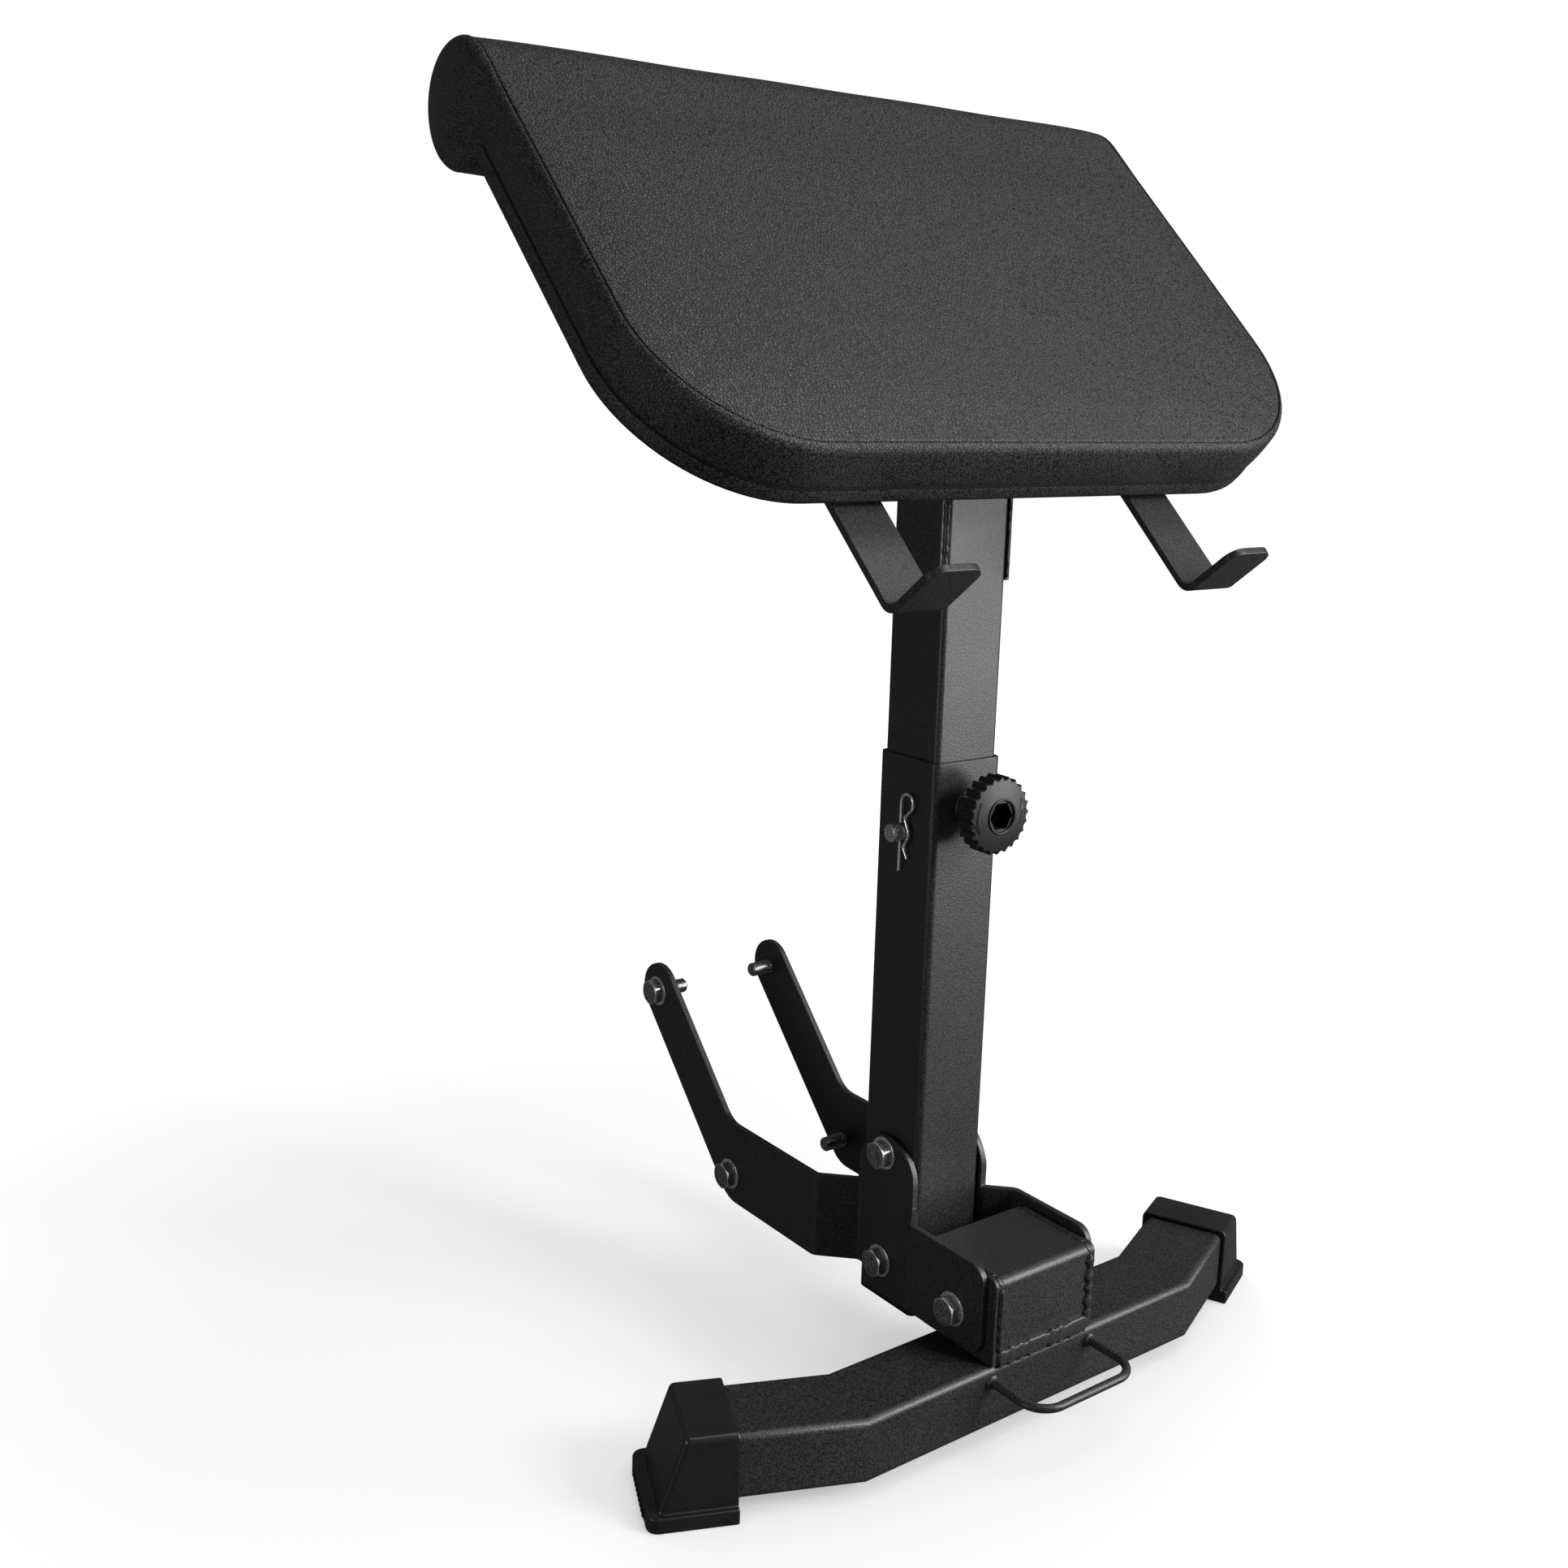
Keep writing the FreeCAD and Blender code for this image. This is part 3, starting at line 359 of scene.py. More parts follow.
@dataclass(frozen=True)
class SpunLining(Finish):
    """Spun-bonded lining on the board: matted black fibres pressed in small dimples."""

    bond_size: float = 1.5

    def paint(self, brush: Brush) -> None:
        """Stretched noise gives the fibres, and a grid of cells the bond points.

        Args:
            brush: Painter of the material.
        """
        fibre = brush.noise(self.grain_mm, 4.0, Distortion=2.5)
        inputs = {"Vector": brush.place, "Scale": per_metre(self.grain_mm * self.bond_size),
                  "Randomness": 0.2}
        both = brush.product(fibre, add(brush.tree, "ShaderNodeTexVoronoi", inputs).outputs[0])
        brush.feed("Base Color", self.tones(brush, both, 0.0, 0.4))
        brush.emboss(both, self.relief_mm, self.strength)


# Gives the eye a soft sheen on broad faces, a bright line on round edges and a fine pebble with
# painted highlights on its crests and painted shade in its hollows.
COAT = PowderCoat("black_wrinkle_powder_coat", "black_powder_coat", "#111111", "#2f2f2f",
                  grain_mm=1.25, roughness=0.42, specular=0.45)
# Deep even black that only shines along its rounded edges.
RUBBER = Moulded("moulded_black_rubber", "black_rubber", "#121212", "#1f1f1f",
                 grain_mm=1.2, roughness=0.3, specular=0.6)
# Duller black than the rubber, so that a plug reads as a hollow's end.
PLUG = Moulded("moulded_black_polyethylene", "black_plastic", "#101010", "#1d1d1d",
               grain_mm=1.0, roughness=0.45, specular=0.15)
# Dark grey that shades smoothly over the knob's dome, with painted shade that turns its socket
# black.
NYLON = Moulded("moulded_black_nylon", "knob_plastic", "#0f0f0f", "#1d1d1d",
                grain_mm=1.1, roughness=0.38, specular=0.3)
# Speckled dark metal with painted white highlights on the rim, cone and corners of each head.
BOLT_ZINC = ZincPlate("zinc_plated_bolt_steel", "dark_zinc_steel", "#5a5859", "#cac8c9",
                      grain_mm=1.6, roughness=0.32, metallic=1.0)
# The brightest thing on the stand: small sharp glints on wire, washers and staples.
BRIGHT_ZINC = ZincPlate("bright_zinc_plated_steel", "zinc_steel", "#b4b3b5", "#fdfdfd",
                        grain_mm=1.4, roughness=0.26, metallic=0.8)
# Grey mottled metal between the other two, so that the pin stands apart from its clip.
PIN_ZINC = ZincPlate("dull_zinc_plated_steel", "zinc_steel", "#7c7b7d", "#d8d7d9",
                     grain_mm=1.3, roughness=0.3, metallic=0.75)
# Close pebbles with painted highlights on their tops and painted shade in their valleys, and a slow
# sheen across the pad.
VINYL = Leathercloth("black_vinyl_leathercloth", "vinyl_on_foam", "#080808", "#424142",
                     grain_mm=2.0, roughness=0.42, specular=0.26)
# Flat, lightless felt that lets the staples and the plates stand out under the pad.
LINING = SpunLining("black_spun_lining", "wrapped_plywood", "#0f0f0f", "#222222",
                    grain_mm=1.1, roughness=0.8, specular=0.06)


@dataclass
class Shell:
    """Grids of points, in millimetres, that together make the mesh of one piece."""

    points: list = field(default_factory=list)
    faces: list = field(default_factory=list)
    tags: list = field(default_factory=list)
    count: int = 0

    def grid(self, points: Array, closed: bool = False, tag: Array | None = None) -> None:
        """Skins a grid of points with quads.

        Args:
            points: Rows by columns by 3.
            closed: Joins the last column to the first.
            tag: One number for each point, kept as the mesh attribute "tag".
        """
        rows, columns = points.shape[:2]
        steps = np.arange(columns if closed else columns - 1)
        here, right = np.meshgrid(np.arange(rows - 1), steps, indexing="ij")
        after = (right + 1) % columns
        corners = (here * columns + right, here * columns + after,
                   (here + 1) * columns + after, (here + 1) * columns + right)
        self.faces.append(np.stack(corners, -1).reshape(-1, 4) + self.count)
        self.points.append(points.reshape(-1, 3))
        self.tags.append(np.zeros(rows * columns) if tag is None else tag.reshape(-1))
        self.count += rows * columns

    def mesh(self, name: str, outward: bool = True) -> bpy.types.Mesh:
        """Turns the grids into one mesh with its doubles merged and its normals pointing out.

        Args:
            name: Name of the mesh.
            outward: Recalculates the normals, which suits a closed skin.

        Returns:
            The mesh, in metres.
        """
        made = bpy.data.meshes.new(name)
        points = np.concatenate(self.points) * MM
        made.from_pydata(points.tolist(), [], np.concatenate(self.faces).tolist())
        tag = made.attributes.new("tag", "FLOAT", "POINT")
        tag.data.foreach_set("value", np.concatenate(self.tags).astype(np.float32))
        work = bmesh.new()
        work.from_mesh(made)
        bmesh.ops.remove_doubles(work, verts=work.verts, dist=MERGE_MM * MM)
        bmesh.ops.dissolve_degenerate(work, edges=work.edges, dist=MERGE_MM * MM / 2)
        if outward:
            bmesh.ops.recalc_face_normals(work, faces=work.faces)
        work.to_mesh(made)
        work.free()
        return made


def new_object(name: str, data: bpy.types.ID) -> bpy.types.Object:
    """Makes an object and links it to the scene.

    Args:
        name: Name of the object.
        data: Its mesh, lamp or camera.

    Returns:
        The new object, at the origin.
    """
    made = bpy.data.objects.new(name, data)
    bpy.context.scene.collection.objects.link(made)
    return made


def finish_piece(mesh: bpy.types.Mesh, finish: Finish, body: Body, sharp: float,
                 stands_for: tuple = ()) -> bpy.types.Object:
    """Makes a mesh into a finished piece that rides on a body.

    Args:
        mesh: Mesh in the row frame, named for its piece.
        finish: Surface finish.
        body: Body that the piece moves with.
        sharp: Angle in degrees above which an edge stays sharp.
        stands_for: CAD nodes that the piece replaces.

    Returns:
        The new object.
    """
    made = new_object(mesh.name, mesh)
    mesh.materials.clear()
    mesh.materials.append(finish.material())
    mesh.shade_smooth()
    mesh.set_sharp_from_angle(angle=math.radians(sharp))
    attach(made, body.value)
    if stands_for:
        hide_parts(*stands_for)
    LOG.info("%s: %d faces on %s", made.name, len(mesh.polygons), body.value)
    return made


def refine(node: str, finish: Finish, body: Body, bevel_mm: float,
           thin_mm: float = 0.0) -> bpy.types.Object:
    """Copies a CAD node, merges its facets and breaks its edges as a tumbled or coated edge is.

    Args:
        node: CAD node that the copy replaces.
        finish: Surface finish.
        body: Body that the node rides on.
        bevel_mm: Width of the broken edge, or 0 for none.
        thin_mm: How much the skin is drawn in, for a wire that is finer than its solid.

    Returns:
        The finished piece.
    """
    work = bmesh.new()
    work.from_mesh(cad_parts[node].data)
    bmesh.ops.remove_doubles(work, verts=work.verts, dist=2 * MERGE_MM * MM)
    one_face = math.radians(0.6)
    bmesh.ops.dissolve_limit(work, angle_limit=one_face, verts=work.verts, edges=work.edges)
    mesh = bpy.data.meshes.new(f"{node}_finished")
    work.to_mesh(mesh)
    work.free()
    if thin_mm:
        skin, way = (np.empty(3 * len(mesh.vertices), np.float32) for _ in range(2))
        mesh.vertices.foreach_get("co", skin)
        mesh.vertices.foreach_get("normal", way)
        mesh.vertices.foreach_set("co", skin - thin_mm * MM * way)
    if "custom_normal" in mesh.attributes:
        mesh.attributes.remove(mesh.attributes["custom_normal"])
    made = finish_piece(mesh, finish, body, SMOOTH_DEG if bevel_mm else FACET_DEG, (node,))
    if bevel_mm:
        edge = made.modifiers.new("broken_edge", "BEVEL")
        edge.width = bevel_mm * MM
        edge.segments = 2
        edge.limit_method = "ANGLE"
        edge.angle_limit = math.radians(32)
        edge.use_clamp_overlap = False
        made.modifiers.new("no_slivers", "WELD").merge_threshold = 5 * MERGE_MM * MM
        made.modifiers.new("flat_faces", "WEIGHTED_NORMAL").weight = 100
    return made


def dress(node: str, finish: Finish) -> None:
    """Gives a CAD node that keeps its shape its finish.

    Args:
        node: CAD node.
        finish: Surface finish.
    """
    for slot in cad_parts[node].material_slots:
        slot.material = finish.material()
    LOG.info("%s: CAD solid in %s", node, finish.name)


def placed(local: Array, origin: tuple, axis: tuple) -> Array:
    """Lays points drawn about a Z axis along another axis.

    Args:
        local: Points by 3, in millimetres.
        origin: Where the local origin goes.
        axis: Direction of the local Z axis.

    Returns:
        The points in the row frame.
    """
    ahead = np.array(axis, float)
    ahead /= np.linalg.norm(ahead)
    side = np.cross([0.0, 1.0, 0.0] if abs(ahead[1]) < 0.9 else [0.0, 0.0, 1.0], ahead)
    side /= np.linalg.norm(side)
    return np.array(origin) + local @ np.array([side, np.cross(ahead, side), ahead])


def turned(radius: Array, height: Array, angle: Array) -> Array:
    """Rows of points round the Z axis, from a radius for each row and angle and a height for each.

    Args:
        radius: Rows by angles.
        height: Rows by angles, or rows by 1.
        angle: Angles in radians.

    Returns:
        Rows by angles by 3.
    """
    radius, height, angle = np.broadcast_arrays(radius, height, angle[None, :])
    return np.stack([radius * np.cos(angle), radius * np.sin(angle), height], -1)


def hexagon_radius(angle: Array, across_flats: float, blunt: float = 0.97) -> Array:
    """Radius of a hexagon at each angle, with its corners slightly blunted.

    The flat is at a distance of half the width across flats, so the radius is that over the
    cosine of the angle from the middle of the flat.

    Args:
        angle: Angles in radians; 0 is the middle of a flat.
        across_flats: Width across flats.
        blunt: Share of the corner's radius that is left.

    Returns:
        A radius for each angle.
    """
    from_flat = (angle + math.pi / 6) % (math.pi / 3) - math.pi / 6
    corner = across_flats / math.sqrt(3) * blunt
    return np.minimum(across_flats / 2 / np.cos(from_flat), corner)


@dataclass
class HexBolt:
    """Hexagon bolt or nut with chamfered corners and a rolled thread, in millimetres."""

    across_flats: float = 19.0
    head: float = 7.5
    diameter: float = 12.0
    thread: float = 11.6
    pitch: float = 1.75
    thread_deep: float = 0.6
    chamfer: float = 1.2
    sunk: float = 1.0
    face_share: float = 0.48
    dish_share: float = 0.55
    dish: float = 0.15
    rim: float = 0.4
    rim_drop: float = 0.08
    seat_edge: float = 0.25
    seat_in: float = 0.3
    cone_deg: float = 30.0
    sides: int = 72
    steps_per_turn: int = 10
    corner_turn: float = math.pi / 6

    def angles(self) -> Array:
        """Angles of the columns round the bolt."""
        return np.linspace(0, 2 * math.pi, self.sides, endpoint=False)

    def head_rows(self, height: float, both: bool) -> Array:
        """Skin of a head or nut: dished top, cone over the corners, flats, and seat.

        The cone drops by its tangent times how far the hexagon stands outside its round face.

        Args:
            height: Height over the seat.
            both: Chamfers the seat's side too, as on a nut.

        Returns:
            Rows by angles by 3.
        """
        angle = self.angles()
        outline = hexagon_radius(angle, self.across_flats)
        face = self.face_share * self.across_flats
        drop = (outline - face) * math.tan(math.radians(self.cone_deg))
        foot = (outline, drop) if both else (outline, self.seat_edge)
        rows = [(0, height - self.dish), (face * self.dish_share, height - self.dish),
                (face - self.rim, height), (face, height - self.rim_drop), (outline, height - drop),
                foot, (face if both else outline - self.seat_in, 0), (0, 0)]
        radius, rise = (np.stack([row[i] + 0 * angle for row in rows]) for i in (0, 1))
        return turned(radius, rise, angle + self.corner_turn)

    def shank_rows(self, grip: float, reach: float) -> Array:
        """Skin of the shank, down from inside the head: plain through the grip, then a thread.

        The thread is a helix: the radius follows a triangle wave of the height less the turn. It
        fades in over two turns and ends in a chamfer.

        Args:
            grip: Length of the plain shank.
            reach: Length of the thread.

        Returns:
            Rows by angles by 3.
        """
        angle = self.angles()
        along = np.linspace(0, reach, int(reach / self.pitch * self.steps_per_turn))[:, None]
        phase = (along / self.pitch - angle[None, :] / (2 * math.pi)) % 1
        wave = np.clip(1.6 * (1 - np.abs(2 * phase - 1)) - 0.2, 0, 1)
        depth = self.thread_deep * self.pitch * np.clip(along / (2 * self.pitch), 0, 1)
        end = np.clip(along - reach + self.chamfer, 0, None)
        radius = self.thread / 2 - np.maximum(depth * (1 - wave), end)
        plain, tip = np.full((2, self.sides), self.diameter / 2), np.zeros((1, self.sides))
        radius = np.concatenate([tip, plain, radius, tip])
        down = np.concatenate([[-self.sunk, -self.sunk, grip], grip + along[:, 0], [grip + reach]])
        return turned(radius, -down[:, None], angle)

    def bolt(self, shell: Shell, seat: tuple, axis: tuple, grip: float, reach: float) -> None:
        """Adds a bolt whose head stands on the seat along the axis.

        Args:
            shell: Shell that takes the bolt.
            seat: Middle of the seat.
            axis: Direction from the seat to the head.
            grip: Length of the plain shank.
            reach: Length of the thread.
        """
        head, shank = self.head_rows(self.head, False), self.shank_rows(grip, reach)
        shell.grid(placed(head, seat, axis), closed=True, tag=self.painted_highlight_share())
        shell.grid(placed(shank, seat, axis), closed=True)

    def nut(self, shell: Shell, seat: tuple, axis: tuple, height: float) -> None:
        """Adds a nut that stands on the seat along the axis.

        Args:
            shell: Shell that takes the nut.
            seat: Middle of the seat.
            axis: Direction from the seat to the nut's far face.
            height: Height of the nut.
        """
        skin = self.head_rows(height, True)
        shell.grid(placed(skin, seat, axis), closed=True, tag=self.painted_highlight_share())

    def painted_highlight_share(self) -> Array:
        """How much painted highlight each point of a head gets: its rim, its cone and its corners.

        Returns:
            Rows of the head by angles, from 0 to 1.
        """
        outline = hexagon_radius(self.angles(), self.across_flats)
        corner = (outline - outline.min()) / np.ptp(outline)
        rim = np.array([0, 0, 0, 0.85, 0.7, 0.05, 0, 0])
        down = np.array([0, 0, 0, 0, 0.3, 0.75, 0.2, 0])
        return np.clip(rim[:, None] + down[:, None] * np.clip(corner * 4 - 3, 0, 1), 0, 1)


@dataclass
class Fasteners:
    """Bolts and nuts of the base and of the rear arms, in millimetres in the row frame."""

    post_spots: tuple = ((-52.75, 157.5), (-52.75, 73.0))
    post_seat: float = 37.0
    base_spots: tuple = ((-149.75, 86.0),)
    base_seat: float = 54.0
    nut: float = 10.0
    past_nut: float = 4.0
    bench_spots: tuple = ((212.25, 203.5), (104.25, 84.5))
    bench_seat: float = 61.0
    bench_grip: float = 7.0
    bench_reach: float = 20.0
    sharp: float = 28.0
    washer_edge: float = 0.45

    def build(self) -> None:
        """Builds every bolt and nut, and breaks the edges of the washers."""
        form = HexBolt()
        reach = self.nut + self.past_nut
        shells = {}
        for bolts, nuts, seat, spots in (
                ("post_bolts", "post_nuts", self.post_seat, self.post_spots),
                ("base_bolt", "base_nut", self.base_seat, self.base_spots)):
            shells[bolts], shells[nuts] = Shell(), Shell()
            for y, z in spots:
                form.bolt(shells[bolts], (-seat, y, z), (-1, 0, 0), 2 * seat, reach)
                form.nut(shells[nuts], (seat, y, z), (1, 0, 0), self.nut)
        bench = shells["bench_bolts"] = Shell()
        for side in (-1, 1):
            for y, z in self.bench_spots:
                seat = (side * self.bench_seat, y, z)
                form.bolt(bench, seat, (side, 0, 0), self.bench_grip, self.bench_reach)
        for name, shell in shells.items():
            mesh = shell.mesh(f"{name}_finished")
            finish_piece(mesh, BOLT_ZINC, Body.BASE, self.sharp, (name,))
        for node in ("post_washers", "base_washers", "bench_washers"):
            refine(node, BRIGHT_ZINC, Body.BASE, self.washer_edge)


@dataclass
class ClampKnob:
    """Scalloped clamp knob with a domed face, a round ring and a hexagon socket, in millimetres."""

    radius: float = 27.5
    scallops: int = 24
    scallop: float = 2.5
    tip_round: float = 0.3
    hub_radius: float = 15.0
    hub: float = 6.0
    rim: float = 15.5
    dome: float = 2.5
    back_chamfer: float = 2.5
    edge: float = 0.7
    ring_radius: float = 11.7
    ring_half: float = 1.0
    recess: float = 1.2
    socket_flats: float = 17.4
    socket: float = 8.0
    steps_per_scallop: int = 12
    arrow_radius: float = 20.6
    arrow_half: float = 1.35
    arrow_head_half: float = 3.3
    arrow_span: float = 62.0
    arrow_raise: float = 0.45
    sharp: float = 35.0

    def place(self) -> tuple:
        """Finds the middle of the knob's back.

        Returns:
            The point in the row frame, from the CAD node's box.
        """
        low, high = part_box("knob")
        return (0.0, high.y / MM, (low.z + high.z) / 2 / MM)

    def dome_height(self, radius: Array) -> Array:
        """Height of the face: a sphere cap, lower by the dome's height at the rim.

        Args:
            radius: Distances from the axis.

        Returns:
            A height over the knob's back for each distance.
        """
        sphere = (self.radius ** 2 + self.dome ** 2) / (2 * self.dome)
        return self.hub + self.rim + self.dome - sphere + np.sqrt(sphere ** 2 - radius ** 2)

    def rows(self) -> Array:
        """Skin of the knob: the rim's hollows are parabolas between points, and fade up the face.

        Returns:
            Rows by angles by 3, from the middle of the back to the middle of the socket's floor.
        """
        angle = np.linspace(0, 2 * math.pi, self.scallops * self.steps_per_scallop, endpoint=False)
        across = (angle * self.scallops / (2 * math.pi)) % 1
        hollow = 1 - (2 * across - 1) ** 2
        tip = np.exp(-((0.5 - np.abs(across - 0.5)) / 0.07) ** 2)
        rim = self.radius - self.scallop * hollow - self.tip_round * tip
        zero = np.zeros_like(angle)
        face = self.hub + self.rim
        crest = face + self.dome
        start = self.hub + self.back_chamfer
        rows = [(0, 0), (self.hub_radius - 0.6, 0), (self.hub_radius, 0.6),
                (self.hub_radius, self.hub - 0.5), (self.hub_radius + 0.5, self.hub),
                (rim - self.back_chamfer, self.hub), (rim - self.edge / 2, start - 0.4),
                (rim, start + 0.4)]
        rows += [(rim, level) for level in np.linspace(self.hub + 4.5, face - self.edge, 5)]
        rows += [(rim - self.edge * 0.35, face - self.edge * 0.25)]
        ring = self.ring_radius + self.ring_half * math.cos(math.radians(30))
        for share in np.linspace(0.0, 1.0, 9):
            reach = (rim - self.edge) * (1 - share) + (ring * share)
            rows.append((reach, self.dome_height(reach)))
        middle = crest - self.ring_half / 2
        rows += [(self.ring_radius + self.ring_half * math.cos(turn),
                  middle + self.ring_half * math.sin(turn))
                 for turn in np.radians(np.linspace(42, 180, 11))]
        floor = crest - self.recess
        socket = hexagon_radius(angle + math.pi / 6, self.socket_flats, 0.995)
        inner = self.ring_radius - self.ring_half
        rows += [(inner, floor + 0.25), (inner - 0.25, floor), (socket + 0.3, floor),
                 (socket, floor - 0.3), (socket, floor - self.socket), (0, floor - self.socket)]
        radius, height = (np.stack([row[i] + zero for row in rows]) for i in (0, 1))
        return turned(radius, height, angle)

    def arrow_rows(self, middle: float) -> Array:
        """Skin of one curved arrow: a band round the face that steps out to a head and a point.

        Args:
            middle: Angle of the arrow's middle, in degrees.

        Returns:
            Rows along the arrow by points round its section by 3.
        """
        along = np.array([0.0, 0.0, 0.1, 0.25, 0.4, 0.55, 0.64, 0.64, 0.73, 0.82, 0.91, 0.98, 1.0])
        head = np.clip((1 - along) / 0.36, 0, 1) * self.arrow_head_half
        half = np.where(np.arange(along.size) < 7, self.arrow_half, head)
        half[0] = 0.0
        section = np.array([[-1.15, -0.6], [-1.0, 0.7], [-0.7, 1.0],
                            [0.7, 1.0], [1.0, 0.7], [1.15, -0.6]])
        angle = np.radians(middle + self.arrow_span * (along - 0.5))[:, None]
        radius = self.arrow_radius + half[:, None] * section[None, :, 0]
        height = self.dome_height(radius) + self.arrow_raise * section[None, :, 1]
        return np.stack([radius * np.cos(angle), radius * np.sin(angle), height], -1)

    def build(self) -> None:
        """Builds the knob, its arrows and the clamp screw."""
        shell, arrows = Shell(), Shell()
        rows, front = self.rows(), (0, -1, 0)
        # Painted shade: the socket is tagged to turn black down its wall and over its floor.
        hollow = np.zeros(rows.shape[:2])
        hollow[-2:] = 1.0
        shell.grid(placed(rows, self.place(), front), closed=True, tag=hollow)
        finish_piece(shell.mesh("knob_finished"), NYLON, Body.KNOB, self.sharp, ("knob",))
        for middle in (0.0, 180.0):
            arrows.grid(placed(self.arrow_rows(middle), self.place(), front), closed=True)
        finish_piece(arrows.mesh("knob_arrows"), NYLON, Body.KNOB, self.sharp)
        refine("clamp_screw", BRIGHT_ZINC, Body.SCREW, 0.4)


@dataclass
class WeldBeads:
    """Painted weld beads: a rounded section along a path, with the ripples of a moving arc."""

    ripple_mm: float = 9.6
    taper_mm: float = 3.0
    root_mm: float = 0.4
    step_mm: float = 0.45
    section_steps: int = 13
    base_front: float = -185.25
    box_half: float = 42.0
    box_top: float = 120.0
    post_front: float = -82.75
    clamp_height: float = 417.0
    loop_half: float = 46.5
    loop_height: float = 46.5
    cheek_x: float = 27.5
    sharp: float = 60.0

    def rows(self, path: Array, across: Array, out: Array, width: float,
             height: float, sweep: tuple, lump: float = 0.25, flat: float = 1.0,
             ring: bool = False) -> Array:
        """Skin of one bead: an arc at each step of the path, wider and narrower as the arc moved.

        The arc is a superellipse, flat-topped where its power is under 1. Its size follows a sine
        of the distance along the path, at a pitch that wanders, and two slower waves make it
        uneven. It shrinks to nothing over its last millimetres, or a ring meets its own start.

        Args:
            path: Steps by 3, the root line.
            across: Direction of the section's first axis, 3 or steps by 3.
            out: Direction of its second axis, 3 or steps by 3.
            width: Half width along the first axis.
            height: Height along the second axis.
            sweep: First and last angle of the arc in degrees.
            lump: How far the puddles stand out, as a share of the size.
            flat: Power of the superellipse.
            ring: The path closes on itself.

        Returns:
            Steps by section points by 3.
        """
        run = np.concatenate([[0], np.cumsum(np.linalg.norm(np.diff(path, axis=0), axis=1))])
        turn = np.radians(np.linspace(*sweep, self.section_steps))
        seed = path[0].sum()
        wander = 0.5 * np.sin(run * 0.3 + seed)
        beat = 0.5 * lump * np.sin(2 * math.pi * run / self.ripple_mm + wander)
        uneven = 0.08 * np.sin(run * 0.31 + seed) + 0.06 * np.sin(run * 0.83 + 2.1 * seed)
        wide, tall = 1 + beat + uneven, 1 + 0.25 * beat + 0.4 * uneven
        if not ring:
            near_end = np.clip(np.minimum(run, run[-1] - run) / self.taper_mm, 0, 1)
            shrink = np.sqrt(near_end * (2 - near_end))
            wide, tall = wide * shrink, tall * shrink
        else:
            wide, tall = (size + (size[0] - size[-1]) * run / run[-1] for size in (wide, tall))
        cosine = np.sign(np.cos(turn)) * np.abs(np.cos(turn)) ** flat
        sine = np.abs(np.sin(turn)) ** flat
        across = np.broadcast_to(np.asarray(across, float), path.shape)[:, None, :]
        out = np.broadcast_to(np.asarray(out, float), path.shape)[:, None, :]
        skin = (path[:, None, :] + across * (width * wide[:, None] * cosine)[..., None]
                + out * (height * tall[:, None] * sine)[..., None])
        inward = out + (across if sweep[1] < 120 else 0 * across)
        root = path[:, None, :] - self.root_mm * np.minimum(wide, 1)[:, None, None] * inward
        return np.concatenate([skin, root], axis=1)

    def straight(self, start: tuple, end: tuple) -> Array:
        """Evenly spaced points from start to end.

        Args:
            start: First point.
            end: Last point.

        Returns:
            Steps by 3.
        """
        start, end = np.array(start, float), np.array(end, float)
        steps = int(np.linalg.norm(end - start) / self.step_mm) + 2
        return start + (end - start) * np.linspace(0, 1, steps)[:, None]

    def ring(self, middle: tuple, radius: float, width: float, height: float) -> Array:
        """Skin of a bead round a circle that faces the front.

        Args:
            middle: Middle of the circle.
            radius: Its radius.
            width: Width of the bead.
            height: Its height.

        Returns:
            Steps by section points by 3.
        """
        angle = np.linspace(0, 2 * math.pi, int(2 * math.pi * radius / self.step_mm))
        radial = np.stack([np.cos(angle), np.zeros_like(angle), np.sin(angle)], -1)
        path = np.array(middle) + radius * radial
        return self.rows(path, radial, np.array([0, -1.0, 0]), width, height, (0, 90), ring=True)

    def build(self) -> None:
        """Builds the beads of the base and of the mast."""
        front, up, left = np.array([0, -1.0, 0]), np.array([0, 0, 1.0]), np.array([-1.0, 0, 0])
        slant = np.array([0, -0.8, 0.6])
        face, top, end = self.base_front, self.box_top, self.box_half + 1
        base, mast = Shell(), Shell()
        for level, inset, way, size, lump, flat in ((62.2, 0.0, up, (5.6, 2.4), 0.18, 0.45),
                                                    (55.4, 0.8, slant, (2.4, 2.2), 0.8, 1.0)):
            path = self.straight((-end, face + inset, level), (end, face + inset, level))
            base.grid(self.rows(path, way, front, *size, (0, 180), lump, flat), closed=True)
        for side, width, lump in ((-1, 1.8, 0.3), (1, 3.0, 0.8)):
            edge = side * self.box_half
            for first, last, out, size, uneven in (
                    ((face, 67.0), (face, top - 6), front, (width, 2.4), lump),
                    ((face, top - 5), (face + 5, top), slant, (3.0, 1.6), 0.1),
                    ((face + 7, top), (face + 68, top), up, (2.2, 0.9), 0.25)):
                path = self.straight((edge, *first), (edge, *last))
                base.grid(self.rows(path, left, out, *size, (0, 180), uneven), closed=True)
            spot = (side * self.loop_half, face, self.loop_height)
            base.grid(self.ring(spot, 2.7, 2.6, 2.4), closed=True)
        spot = (0, self.post_front, self.clamp_height)
        base.grid(self.ring(spot, 9.4, 2.0, 1.8), closed=True)
        finish_piece(base.mesh("base_weld_beads"), COAT, Body.BASE, self.sharp)
        low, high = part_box("left_cheek_plate")
        for side in (-1, 1):
            for y, way, short in ((low.y / MM, -1.0, 50.0), (high.y / MM, 1.0, 8.0)):
                x = side * self.cheek_x
                path = self.straight((x, y, low.z / MM + 1), (x, y, high.z / MM - short))
                across, out = np.array([0, way, 0]), np.array([side, 0, 0])
                mast.grid(self.rows(path, across, out, 2.4, 2.4, (0, 90)), closed=True)
